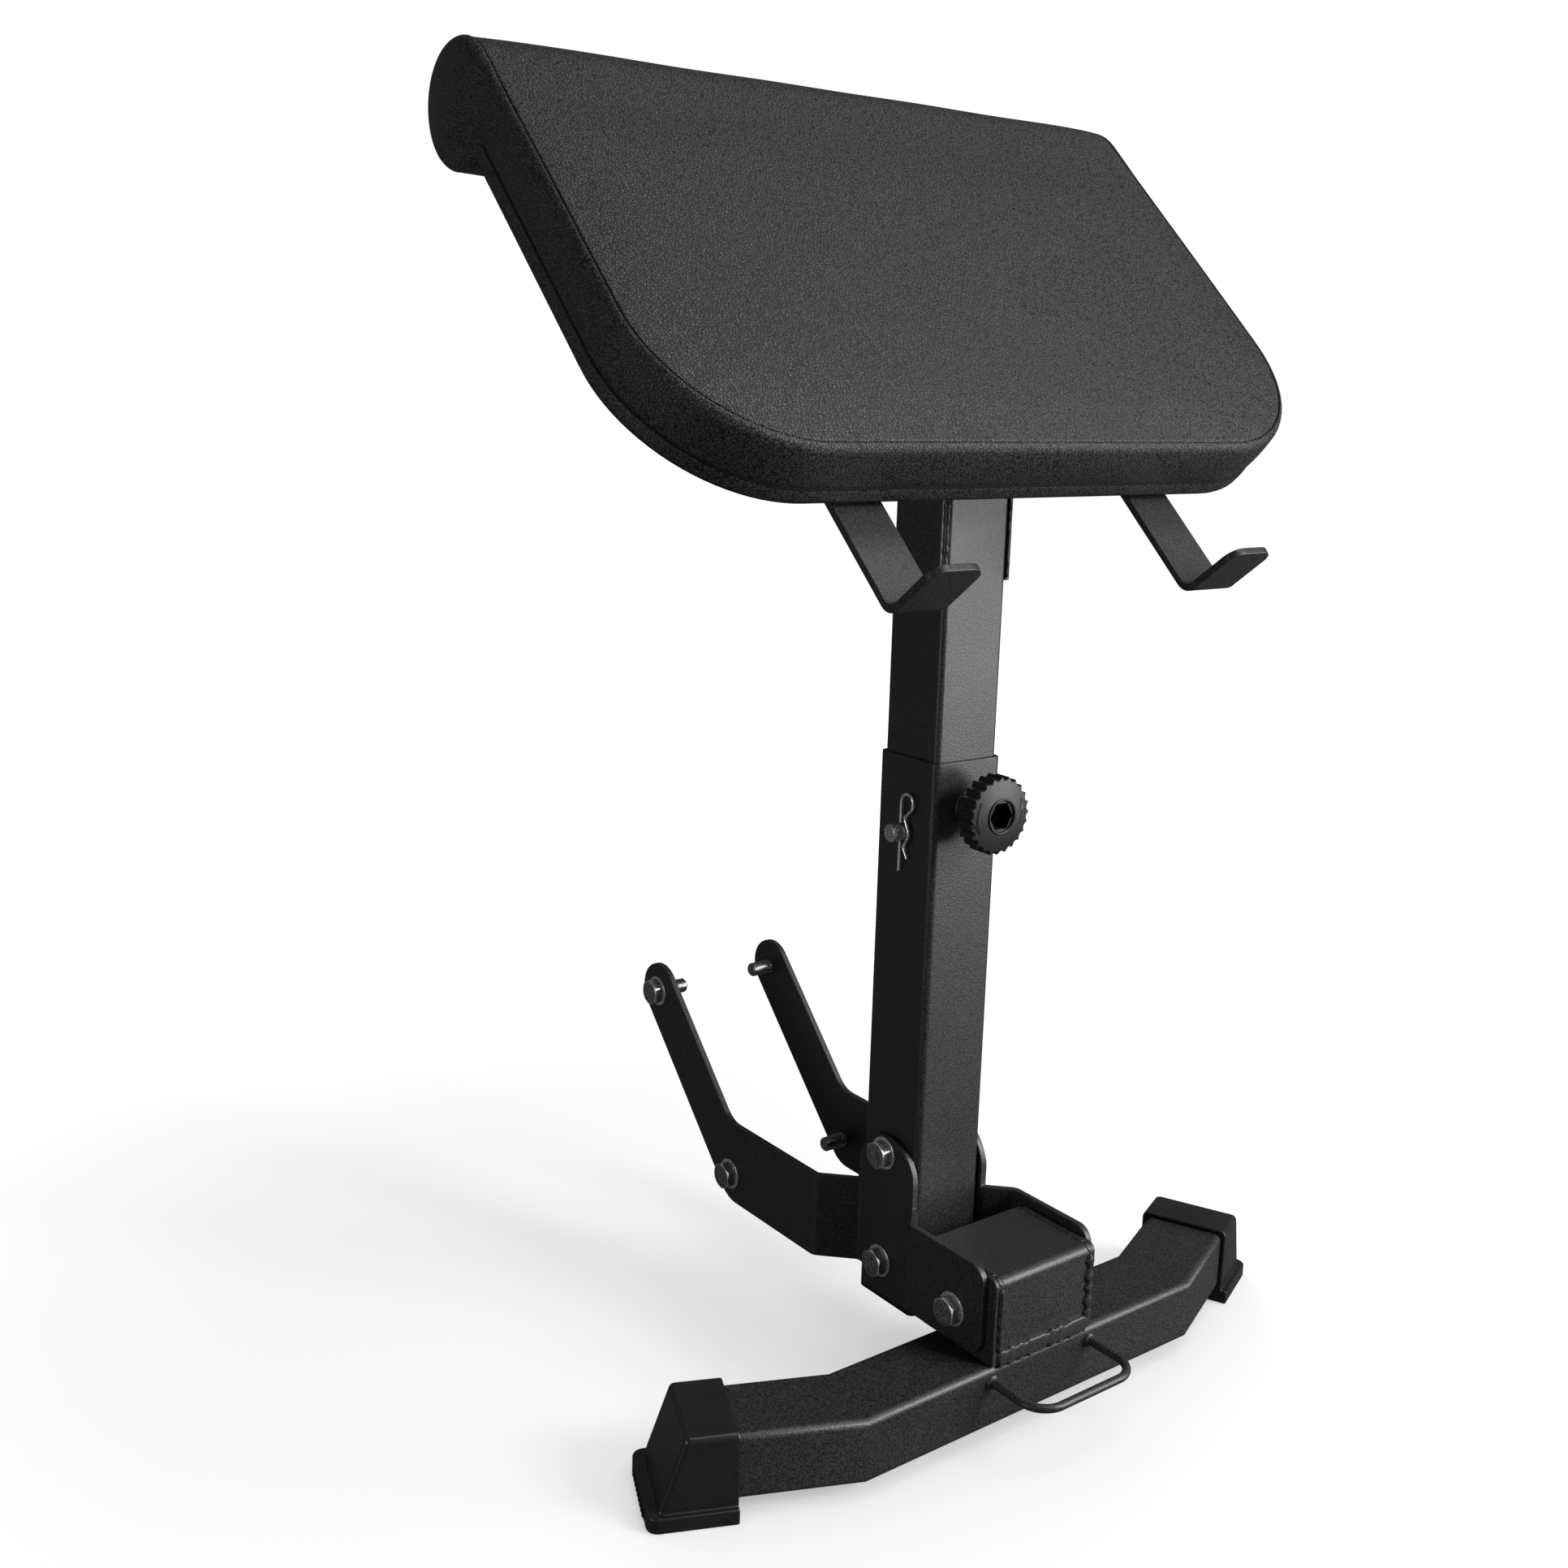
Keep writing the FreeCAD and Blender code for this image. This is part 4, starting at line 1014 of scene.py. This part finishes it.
        finish_piece(mast.mesh("mast_weld_beads"), COAT, Body.MAST, self.sharp)


@dataclass
class ArmPad:
    """Sloping arm pad: a sewn vinyl cover over foam, with a roll along its upper end.

    The cover is drawn unrolled, in millimetres: x across, s up the slope and on round the roll,
    and h off the face.
    """

    slope: float = 44.0
    front_y: float = -149.75
    front_z: float = 663.5
    half: float = 281.5
    flat: float = 325.5
    corner: float = 106.0
    roll: float = 40.0
    crown: float = 5.0
    side_crown: float = 0.8
    seam_in: float = 4.9
    seam_deep: float = 2.4
    seam_wide: float = 0.8
    lip: float = 6.0
    lip_in: float = 4.5
    lip_down: float = 0.3
    lip_end: float = 7.0
    band_end: float = 33.5
    crease_end: float = 36.5
    crease_at: float = 35.0
    crease_deep: float = 0.9
    bulge: float = 0.9
    end_dome: float = 4.5
    end_out: float = 1.3
    end_rise: float = 1.6
    end_from: float = 278.0
    end_full: float = 325.0
    rim_deep: float = 12.0
    rim_wide: float = 2.5
    right_rim: float = 0.25
    edge_fullness: float = 1.8
    edge_reach: float = 15.0
    fold: float = 24.0
    core_in: float = 36.0
    spacing: float = 7.0
    pressure: float = 4.0
    frames: int = 20
    swell_cap: float = 2.4
    band_hold: float = 0.7
    roll_hold: float = 0.88
    fold_down: float = 48.9
    staple_pitch: float = 32.0
    staple_half: float = 5.4
    staple_wire: float = 0.35
    staple_at: float = 0.62

    def strip_rows(self) -> Array:
        """Section of the side band, from the seam's bottom to the fold under the board.

        Returns:
            Pairs of (out, down).
        """
        turn = np.radians(np.linspace(0, 90, 9))
        lip = np.stack([-self.lip_in * (1 - np.sin(turn)),
                        self.lip_down + self.lip * (1 - np.cos(turn))], -1)
        level = [(0, down) for down in (9, 12, 16, 20, 24, 28, 31, 33)]
        crease = [(-0.3, -0.5), (-1.0, 0.0), (-0.3, 0.5)]
        crease = [(self.crease_deep * out, self.crease_at + down) for out, down in crease]
        edge = [(0, 37.2), (0, 40.0), (0, 44.0), (0, 46.0), (-0.35, 47.3), (-1.2, 48.2),
                (-3.0, 48.7), (-12, self.fold_down), (-self.fold, self.fold_down),
                (-self.fold - 0.6, 48.5), (-self.fold - 0.7, 47.6)]
        seam = [(-self.seam_in, self.seam_deep), (-4.7, 1.1)]
        return np.concatenate([seam, lip, level, crease, edge])

    def half_path(self) -> Array:
        """Right half of the cover's outline: half the front, a corner, the side and the roll's end.

        Returns:
            Steps by (x, s, out_x, out_s), with the outward direction in the cover.
        """
        run, bend = self.half - self.corner, np.linspace(-math.pi / 2, 0, 27)[1:]
        lines = []
        x = np.linspace(0, run, int(run / self.spacing) + 1)
        lines.append(np.stack([x, 0 * x, 0 * x, 0 * x - 1], -1))
        lines.append(np.stack([run + self.corner * np.cos(bend), self.corner * (1 + np.sin(bend)),
                               np.cos(bend), np.sin(bend)], -1))
        board_end = self.flat - self.roll
        steps = int((board_end - self.corner) / self.spacing)
        side = np.linspace(self.corner, board_end, steps + 1)[1:]
        lead = board_end + np.unique(np.round(self.strip_rows()[:, 1], 3))
        lead = lead[(lead > board_end + 0.2) & (lead < self.flat)]
        round_end = self.flat + self.roll * np.linspace(0, 1.5 * math.pi, 42)
        s = np.concatenate([side, lead, round_end])
        lines.append(np.stack([0 * s + self.half, s, 0 * s + 1, 0 * s], -1))
        return np.concatenate(lines)

    def path(self) -> Array:
        """Whole outline from the left end of the roll, round the front, to the right end.

        Returns:
            Steps by (x, s, out_x, out_s).
        """
        right = self.half_path()
        left = right[:0:-1] * np.array([-1, 1, -1, 1])
        return np.concatenate([left, right])

    def skin(self, x: Array, s: Array, h: Array, out_x: Array = 0.0,
             out_s: Array = 0.0, out: Array = 0.0) -> Array:
        """Bends the unrolled cover over the slab and round the roll, and lays it on the slope.

        A point at s beyond the flat lies at the angle (s - flat) / roll round the roll's axis.

        Args:
            x: Place across.
            s: Place up the slope, then round the roll.
            h: Height off the face.
            out_x: Outward direction in the cover, across.
            out_s: Outward direction in the cover, up the slope.
            out: Distance along that direction.

        Returns:
            Points in the row frame, in millimetres.
        """
        x, s, h, out_x, out_s, out = np.broadcast_arrays(x, s, h, out_x, out_s, out)
        turn = np.clip((s - self.flat) / self.roll, 0, None)
        t = np.minimum(s, self.flat) + (self.roll + h) * np.sin(turn)
        k = np.where(turn > 0, -self.roll + (self.roll + h) * np.cos(turn), h)
        ahead = out * out_s
        return self.on_slope(x + out * out_x, t + ahead * np.cos(turn), k - ahead * np.sin(turn))

    def on_slope(self, x: Array, t: Array, k: Array) -> Array:
        """Turns pad coordinates into the row frame.

        Args:
            x: Place across.
            t: Place up the slope.
            k: Height off the face.

        Returns:
            Points by 3.
        """
        lean = math.radians(self.slope)
        y = self.front_y + t * math.cos(lean) - k * math.sin(lean)
        z = self.front_z + t * math.sin(lean) + k * math.cos(lean)
        return np.stack([x, y, z], -1)

    def edge_distance(self, x: Array, s: Array) -> Array:
        """Distance in from the outline: to the nearest side, or to the arc in a front corner.

        Args:
            x: Place across.
            s: Place up the slope.

        Returns:
            A distance for each place.
        """
        over_x, over_s = np.abs(x) - (self.half - self.corner), self.corner - s
        arc = self.corner - np.hypot(np.maximum(over_x, 0), np.maximum(over_s, 0))
        return np.where((over_x > 0) & (over_s > 0), arc, np.minimum(self.half - np.abs(x), s))

    def face_height(self, x: Array, s: Array, inside: Array) -> Array:
        """Height of the top panel: a crown along and across, soft towards the seam and sunk in it.

        Args:
            x: Place across.
            s: Place up the slope.
            inside: Distance in from the seam.

        Returns:
            Height off the plain face.
        """
        up = np.clip(s / self.flat, 0, 1)
        crown = self.side_crown + (self.crown - self.side_crown) * (1 - (x / self.half) ** 2)
        waves = 0.25 * np.sin(x * 0.045 + 0.6) * np.sin(s * 0.052)
        waves = waves + 0.15 * np.sin(x * 0.021 - s * 0.034)
        soft = self.edge_fullness * (1 - np.exp(-inside / self.edge_reach))
        soft = soft - self.seam_deep * np.exp(-(inside / self.seam_wide) ** 2)
        turn = np.clip((s - self.flat) / self.roll, 0, None)
        reach = np.minimum(s, self.flat) + (self.roll - self.seam_deep) * np.sin(turn)
        soft += self.end_rim(x, reach, self.seam_deep) * np.exp(-inside / self.rim_wide)
        return crown * 4 * up * (1 - up) + soft + waves * np.clip(inside / 40, 0, 1)

    def toward_end(self, t: Array) -> Array:
        """Share from 0 on the slab to 1 on the roll for a place up the slope, eased by a cubic."""
        share = np.clip((t - self.end_from) / (self.end_full - self.end_from), 0, 1)
        return share * share * (3 - 2 * share)

    def end_rim(self, x: Array, t: Array, down: Array) -> Array:
        """Height of the rim that the roll's end panel pushes up at the seam, less on the right.

        Args:
            x: Place across the pad.
            t: Place up the slope.
            down: Depth under the face.

        Returns:
            A height for each place, which fades out with depth.
        """
        side = np.where(x > 0, self.right_rim, 1.0)
        return side * self.end_rise * self.toward_end(t) * np.clip(1 - down / self.rim_deep, 0, 1)

    def band(self, path: Array) -> tuple:
        """Side band with the roll's end panels: the section carried along the outline.

        On the slab the section goes down; on the roll it goes in to the axis, so the end panel is
        a disc. The disc is domed, and the dome fades into the band's bulge along the slab. The lip
        is tied to the top panel: its first row lies on the panel's seam, and the tie fades out.

        Args:
            path: Steps by (x, s, out_x, out_s).

        Returns:
            The grid of points, and a grid that is 1 where a seam or the board holds the cover.
        """
        rows = self.strip_rows()
        x, s, out_x, out_s = (column[:, None] for column in path.T)
        plain, down = rows[None, :, 0], rows[None, :, 1]
        beyond = (s > self.flat - self.roll + 0.1) & (down > self.roll)
        turn = np.clip((s - self.flat) / self.roll, 0, None)
        reach = np.where(beyond, self.roll, down)
        inward = self.roll - reach
        t = np.minimum(s, self.flat) + np.where(turn > 0, inward * np.sin(turn), 0)
        k = np.where(turn > 0, -self.roll + inward * np.cos(turn), -reach)
        to_end = self.toward_end(t)
        slab = self.bulge * np.sin(math.pi * np.clip((-k - 3) / 31, 0, 1))
        slab = slab + 0.5 * np.sin(math.pi * np.clip((-k - 36) / 11, 0, 1))
        disc = np.clip(1 - np.hypot(t - self.flat, k + self.roll) ** 2 / self.roll ** 2, 0, 1)
        crease = (down > self.band_end) & (down < self.crease_end)
        out = np.where(beyond, 0, np.where(crease, plain * (1 - to_end), plain))
        tie = np.where(down < self.lip_end, np.clip(-plain / self.seam_in, 0, 1), 0)
        dome = (self.end_dome * disc + self.end_out) * to_end * (1 - tie)
        out = out + slab * (1 - to_end) + dome
        height = self.end_rim(x, t, down) - reach
        seam_x, seam_s = x - self.seam_in * out_x, s - self.seam_in * out_s
        seam = self.face_height(seam_x, seam_s, np.zeros_like(x))
        height = height + tie * (seam - height[:, :1])
        fixed = (down < self.lip_end) | (down > self.band_end) | (np.abs(plain) > 3)
        held = np.where(fixed, 1.0, self.band_hold)
        points = self.skin(x, s, height, out_x, out_s, out)
        return points, np.broadcast_to(held, points.shape[:2])

    def top(self, path: Array) -> list:
        """Top panel: rings in from the seam, then a grid between the innermost ring's sides.

        The grid is a Coons patch: the sum of the two pairs of opposite sides less the patch of
        their corners.

        Args:
            path: Steps by (x, s, out_x, out_s).

        Returns:
            Pairs of a grid of points and a grid that is 1 where the panel is held.
        """
        inset = self.seam_in + np.array([0, 0.45, 0.95, 1.7, 3.0, 5.0, 8.0, 12.0, 17.0, 23.5])
        inset = np.append(inset, self.core_in)[None, :]
        x = path[:, None, 0] - inset * path[:, None, 2]
        s = path[:, None, 1] - inset * path[:, None, 3]
        rings = self.flat_panel(x, s)
        middle = np.argmin(np.abs(path[:, 2] - path[:, 3] - math.sqrt(2)))
        last = len(path) - 1
        inner = np.stack([x[:, -1], s[:, -1]], -1)
        left, right = inner[last - middle::-1], inner[middle:]
        front = inner[last - middle:middle + 1]
        across = self.shares(front)[:, None, None]
        along = self.shares(right)[None, :, None]
        back = left[-1] + (right[-1] - left[-1]) * across
        corners = ((1 - across) * ((1 - along) * front[0] + along * left[-1])
                   + across * ((1 - along) * front[-1] + along * right[-1]))
        patch = ((1 - along) * front[:, None, :] + along * back + (1 - across) * left[None, :, :]
                 + across * right[None, :, :] - corners)
        return [rings, self.flat_panel(patch[..., 0], patch[..., 1])]

    @staticmethod
    def shares(line: Array) -> Array:
        """Share of the line's length, from 0 to 1, at each of its points."""
        run = np.concatenate([[0], np.cumsum(np.linalg.norm(np.diff(line, axis=0), axis=1))])
        return run / run[-1]

    def flat_panel(self, x: Array, s: Array) -> tuple:
        """Points of the top panel at unrolled places, and where the panel is held.

        Args:
            x: Place across.
            s: Place up the slope, then round the roll.

        Returns:
            Points by 3, and how firmly the seam, the roll or the tuck behind holds each.
        """
        inside = np.maximum(self.edge_distance(x, s) - self.seam_in, 0)
        height = self.face_height(x, s, inside)
        tucked = s > self.flat + 1.5 * math.pi * self.roll - 12
        firm = self.roll_hold * np.clip((s - self.flat + 2 * self.roll) / self.roll, 0, 1)
        return self.skin(x, s, height), np.where((inside < 1.2) | tucked, 1.0, firm)

    def inflate(self, cover: bpy.types.Object) -> None:
        """Blows the cover out by a cloth simulation, held at its seams, and caps the swelling.

        Args:
            cover: The cover, whose attribute "tag" is 1 where it is held.
        """
        mesh = cover.data
        count = len(mesh.vertices)
        held = np.zeros(count, np.float32)
        mesh.attributes["tag"].data.foreach_get("value", held)
        group = cover.vertex_groups.new(name="held")
        group.add(np.flatnonzero(held > 0.9).tolist(), 1.0, "REPLACE")
        cloth = cover.modifiers.new("foam_pressure", "CLOTH")
        settings = cloth.settings
        for name, value in CLOTH.items():
            setattr(settings, name, value)
        settings.uniform_pressure_force = self.pressure
        settings.vertex_group_mass = group.name
        settings.effector_weights.gravity = 0
        cloth.collision_settings.use_collision = False
        cloth.point_cache.frame_start, cloth.point_cache.frame_end = 1, self.frames
        scene = bpy.context.scene
        for number in range(1, self.frames + 1):
            scene.frame_set(number)
        before, after = np.empty(count * 3), np.empty(count * 3)
        mesh.vertices.foreach_get("co", before)
        blown = cover.evaluated_get(bpy.context.evaluated_depsgraph_get()).data
        blown.vertices.foreach_get("co", after)
        move = (after - before).reshape(-1, 3)
        length = np.linalg.norm(move, axis=1, keepdims=True)
        cap = self.swell_cap * MM * np.clip(1.001 - held, 0.001, 1)[:, None]
        move *= cap * np.tanh(length / cap) / np.maximum(length, 1e-9)
        cover.modifiers.remove(cloth)
        cover.vertex_groups.remove(group)
        scene.frame_set(1)
        mesh.vertices.foreach_set("co", before + move.reshape(-1))
        mesh.update()
        LOG.info("pad cover swells by up to %.1f mm", length.max() / MM)

    def staples(self, path: Array) -> Shell:
        """Wire staples that hold the fold to the board: bent bars along it at an even pitch.

        Args:
            path: Steps by (x, s, out_x, out_s) of the cover's outline.

        Returns:
            All the staples in one shell.
        """
        line = path[path[:, 1] < self.flat - self.roll - 12]
        run = self.shares(line[:, :2])
        total = np.linalg.norm(np.diff(line[:, :2], axis=0), axis=1).sum()
        spots = np.linspace(0.01, 0.99, int(total / self.staple_pitch))
        x, s, out_x, out_s = (np.interp(spots, run, column) for column in line.T)
        norm = np.hypot(out_x, out_s)
        out_x, out_s = out_x / norm, out_s / norm
        bend = self.staple_half - 0.3
        along = np.array([-self.staple_half, -bend, bend, self.staple_half])
        drop = np.array([[0.3], [1.0], [1.0], [0.3]])
        wire = self.staple_wire
        square = np.array([[0.6, wire], [0.6, -wire], [-0.6, -wire], [-0.6, wire]])
        inset = self.fold * self.staple_at
        shell = Shell()
        for i in range(spots.size):
            outward, way = np.array([out_x[i], out_s[i]]), np.array([-out_s[i], out_x[i]])
            centre = np.array([x[i], s[i]]) - inset * outward
            plan = centre + along[:, None, None] * way + square[None, :, :1] * outward
            k = -self.fold_down - drop + square[None, :, 1]
            rows = self.on_slope(plan[..., 0], plan[..., 1], k)
            first, last = (rows[j].mean(0, keepdims=True).repeat(4, 0)[None] for j in (0, -1))
            shell.grid(np.concatenate([first, rows, last]), closed=True)
        return shell

    def build(self) -> None:
        """Builds the cover, inflates it, and adds the board and its staples."""
        path = self.path()
        shell = Shell()
        for points, held in (self.band(path), *self.top(path)):
            shell.grid(points, tag=held)
        mesh = shell.mesh("pad_cover")
        cover = finish_piece(mesh, VINYL, Body.MAST, SMOOTH_DEG, ("pad_cushion",))
        self.inflate(cover)
        smooth = cover.modifiers.new("smooth", "SUBSURF")
        smooth.levels = smooth.render_levels = 1
        refine("pad_board", LINING, Body.MAST, 1.0)
        finish_piece(self.staples(path).mesh("pad_staples"), BRIGHT_ZINC, Body.MAST, FACET_DEG)


@dataclass
class Steelwork:
    """Coated frame pieces, rubber caps and plugs that keep their CAD form, with broken edges."""

    clip_thin: float = 0.4
    edges: tuple = (
        (Body.BASE, COAT, 0.7, ("left_side_plate", "right_side_plate", "base_cover",
                                "left_arm_plate", "right_arm_plate", "outer_post", "foot_tube")),
        (Body.MAST, COAT, 0.7, ("inner_post", "left_cheek_plate", "right_cheek_plate", "head_plate",
                                "rear_crossbar", "left_bar_hook", "right_bar_hook")),
        (Body.BASE, RUBBER, 1.2, ("left_foot_cap", "right_foot_cap")),
        (Body.BASE, COAT, 0.0, ("foot_loop", "weld_nut")),
        (Body.BASE, PLUG, 0.5, ("outer_post_plug",)),
        (Body.MAST, PLUG, 0.5, ("inner_post_plug",)),
        (Body.PIN, PIN_ZINC, 0.5, ("lock_pin",)),
        (Body.MAST, BRIGHT_ZINC, 0.3, ("pad_bolts", "pad_washers")),
    )

    def build(self) -> None:
        """Refines each piece, and dresses the fasteners inside the pad."""
        for body, finish, bevel, nodes in self.edges:
            for node in nodes:
                refine(node, finish, body, bevel)
        refine("r_clip", BRIGHT_ZINC, Body.CLIP, 0.0, self.clip_thin)
        dress("tee_nuts", BRIGHT_ZINC)


@dataclass
class Studio:
    """Pale floor, soft lights, white surroundings and the camera of the photograph."""

    image_px: float = 1932.0
    focal_px: float = 2148.16
    centre_px: tuple = (1000.36, 926.25)
    sensor_mm: float = 36.0
    eye_m: tuple = (-0.79967, -0.93500, 0.70543)
    yaw: float = -37.88
    pitch: float = 12.305
    roll: float = -1.826
    floor_m: float = 30.0
    fill: float = 0.06
    floor_colour: str = "#8f8f8f"
    floor_glow: float = 0.74
    contact_m: float = 0.22
    contact_dark: float = 0.55
    gloss_share: float = 0.05
    gloss_floor: float = 0.2
    fade_m: tuple = (0.4, 1.3)
    lamps: tuple = (
        ("key_soft_box", (2.16, -3.52, 2.6), (0, 0, 0.4), 1.6, 225, True),
        ("side_soft_box", (1.4, -1.6, 0.46), (0, -0.1, 0.6), 0.9, 29, True),
        ("back_soft_box", (1.5, 2.3, 0.9), (0, 0, 0.5), 1.2, 32, False),
        ("top_soft_box", (0.75, -0.75, 2.7), (0, -0.05, 0.6), 1.2, 22, True),
        ("edge_soft_box", (-2.2, -0.1, 0.5), (0, -0.05, 0.3), 0.7, 9, True),
    )

    def camera(self) -> None:
        """Places the camera by yaw, pitch down and roll, with the lens shift of the picture."""
        yaw, pitch, roll = (math.radians(v) for v in (self.yaw, self.pitch, self.roll))
        right = Vector((math.cos(yaw), math.sin(yaw), 0))
        level = Vector((-math.sin(yaw), math.cos(yaw), 0))
        ahead = level * math.cos(pitch) - Vector((0, 0, math.sin(pitch)))
        down = ahead.cross(right)
        right, down = (math.cos(roll) * right + math.sin(roll) * down,
                       -math.sin(roll) * right + math.cos(roll) * down)
        data = bpy.data.cameras.new("camera")
        data.sensor_width = self.sensor_mm
        data.lens = self.focal_px / self.image_px * self.sensor_mm
        data.shift_x = (self.image_px / 2 - self.centre_px[0]) / self.image_px
        data.shift_y = (self.centre_px[1] - self.image_px / 2) / self.image_px
        made = bpy.context.scene.camera = new_object("camera", data)
        axes = Matrix((right, -down, -ahead)).transposed()
        made.matrix_world = Matrix.Translation(self.eye_m) @ axes.to_4x4()

    @staticmethod
    def lamp(name: str, place: tuple, aim: tuple, size: float, power: float,
             mirrored: bool) -> None:
        """Adds a square soft box.

        Args:
            name: Name of the lamp.
            place: Where it hangs, in metres.
            aim: Point that it faces.
            size: Side of the box in metres.
            power: Power in watts.
            mirrored: Whether it shows in reflections.
        """
        data = bpy.data.lights.new(name, "AREA")
        data.size = size
        data.energy = power
        made = new_object(name, data)
        turn = (Vector(aim) - Vector(place)).to_track_quat("-Z", "Y")
        made.matrix_world = Matrix.Translation(place) @ turn.to_matrix().to_4x4()
        made.visible_glossy = mirrored

    def seen_directly(self, tree: Tree) -> bpy.types.NodeSocket:
        """Tells how white the surroundings look to a ray.

        Args:
            tree: Node tree of the world or of the floor.

        Returns:
            Socket that is 1 from the camera or through glass, a share off a gloss, and else 0.
        """
        path = add(tree, "ShaderNodeLightPath")
        gloss = add(tree, "ShaderNodeMath", {
            0: path.outputs["Is Glossy Ray"], 1: self.gloss_share}, operation="MULTIPLY")
        first = add(tree, "ShaderNodeMath", {
            0: path.outputs["Is Camera Ray"], 1: gloss.outputs[0]}, operation="MAXIMUM")
        both = add(tree, "ShaderNodeMath", {
            0: first.outputs[0], 1: path.outputs["Is Transmission Ray"]}, operation="MAXIMUM")
        return both.outputs[0]

    def surroundings(self) -> None:
        """White all round for the eye and through glass, a small share of that white in
        reflections, and a low even fill for the light.
        """
        world = bpy.data.worlds.new("white_studio")
        bpy.context.scene.world = world
        world.use_nodes = True
        tree = world.node_tree
        tree.nodes.clear()
        pale = [{"Color": linear(WHITE), "Strength": power} for power in (self.fill, 1.0)]
        fill, white = (add(tree, "ShaderNodeBackground", inputs) for inputs in pale)
        inputs = {0: self.seen_directly(tree), 1: fill.outputs[0], 2: white.outputs[0]}
        mix = add(tree, "ShaderNodeMixShader", inputs)
        add(tree, "ShaderNodeOutputWorld", {"Surface": mix.outputs[0]})

    def floor(self) -> None:
        """Pale floor that takes the lamps' shadow near the stand, with a painted contact shadow
        where ambient occlusion dims its glow, and fades to the white round it.
        """
        side = self.floor_m / MM / 2
        corner = np.array([-side, side])
        x, y = np.meshgrid(corner, corner)
        shell = Shell()
        shell.grid(np.stack([x, y, 0 * x], -1))
        mesh = shell.mesh("floor", outward=False)
        material, tree = node_material("pale_floor_paint")
        paint = add(tree, "ShaderNodeBsdfDiffuse")
        brush = Brush(tree, paint, add(tree, "ShaderNodeTexCoord").outputs["Object"])
        glossy = add(tree, "ShaderNodeLightPath").outputs["Is Glossy Ray"]
        pale = linear(self.floor_colour)
        dimmed = tuple(self.gloss_floor * part for part in pale[:3]) + (1.0,)
        brush.feed("Color", brush.mix(glossy, pale, dimmed))
        far = add(tree, "ShaderNodeVectorMath", {0: brush.place}, operation="LENGTH")
        inputs = {"Value": far.outputs["Value"], "From Min": self.fade_m[0],
                  "From Max": self.fade_m[1], "To Min": self.floor_glow, "To Max": 1.0}
        fade = add(tree, "ShaderNodeMapRange", inputs, interpolation_type="SMOOTHSTEP").outputs[0]
        # Painted contact shadow: the floor's glow is dimmed where ambient occlusion finds the stand
        # close by.
        sky = add(tree, "ShaderNodeAmbientOcclusion", {"Distance": self.contact_m}, samples=16)
        painted_contact_shadow = brush.span(sky.outputs["AO"], low=self.contact_dark)
        share = brush.product(brush.product(fade, painted_contact_shadow), self.seen_directly(tree))
        glow = add(tree, "ShaderNodeEmission", {"Color": linear(WHITE), "Strength": share})
        both = add(tree, "ShaderNodeAddShader", {0: paint.outputs[0], 1: glow.outputs[0]})
        add(tree, "ShaderNodeOutputMaterial", {"Surface": both.outputs[0]})
        mesh.materials.append(material)
        made = new_object("floor", mesh)

    def build(self) -> None:
        """Sets up the floor, the light and the camera."""
        bpy.context.scene.view_settings.view_transform = "Standard"
        self.camera()
        self.surroundings()
        self.floor()
        for lamp in self.lamps:
            self.lamp(*lamp)


def main() -> None:
    """Builds the stand's looks piece by piece."""
    logging.basicConfig(level=logging.INFO, format="%(message)s")
    for part in (Studio(), Steelwork(), Fasteners(), ClampKnob(), WeldBeads(), ArmPad()):
        part.build()


if __name__ == "__main__":
    main()
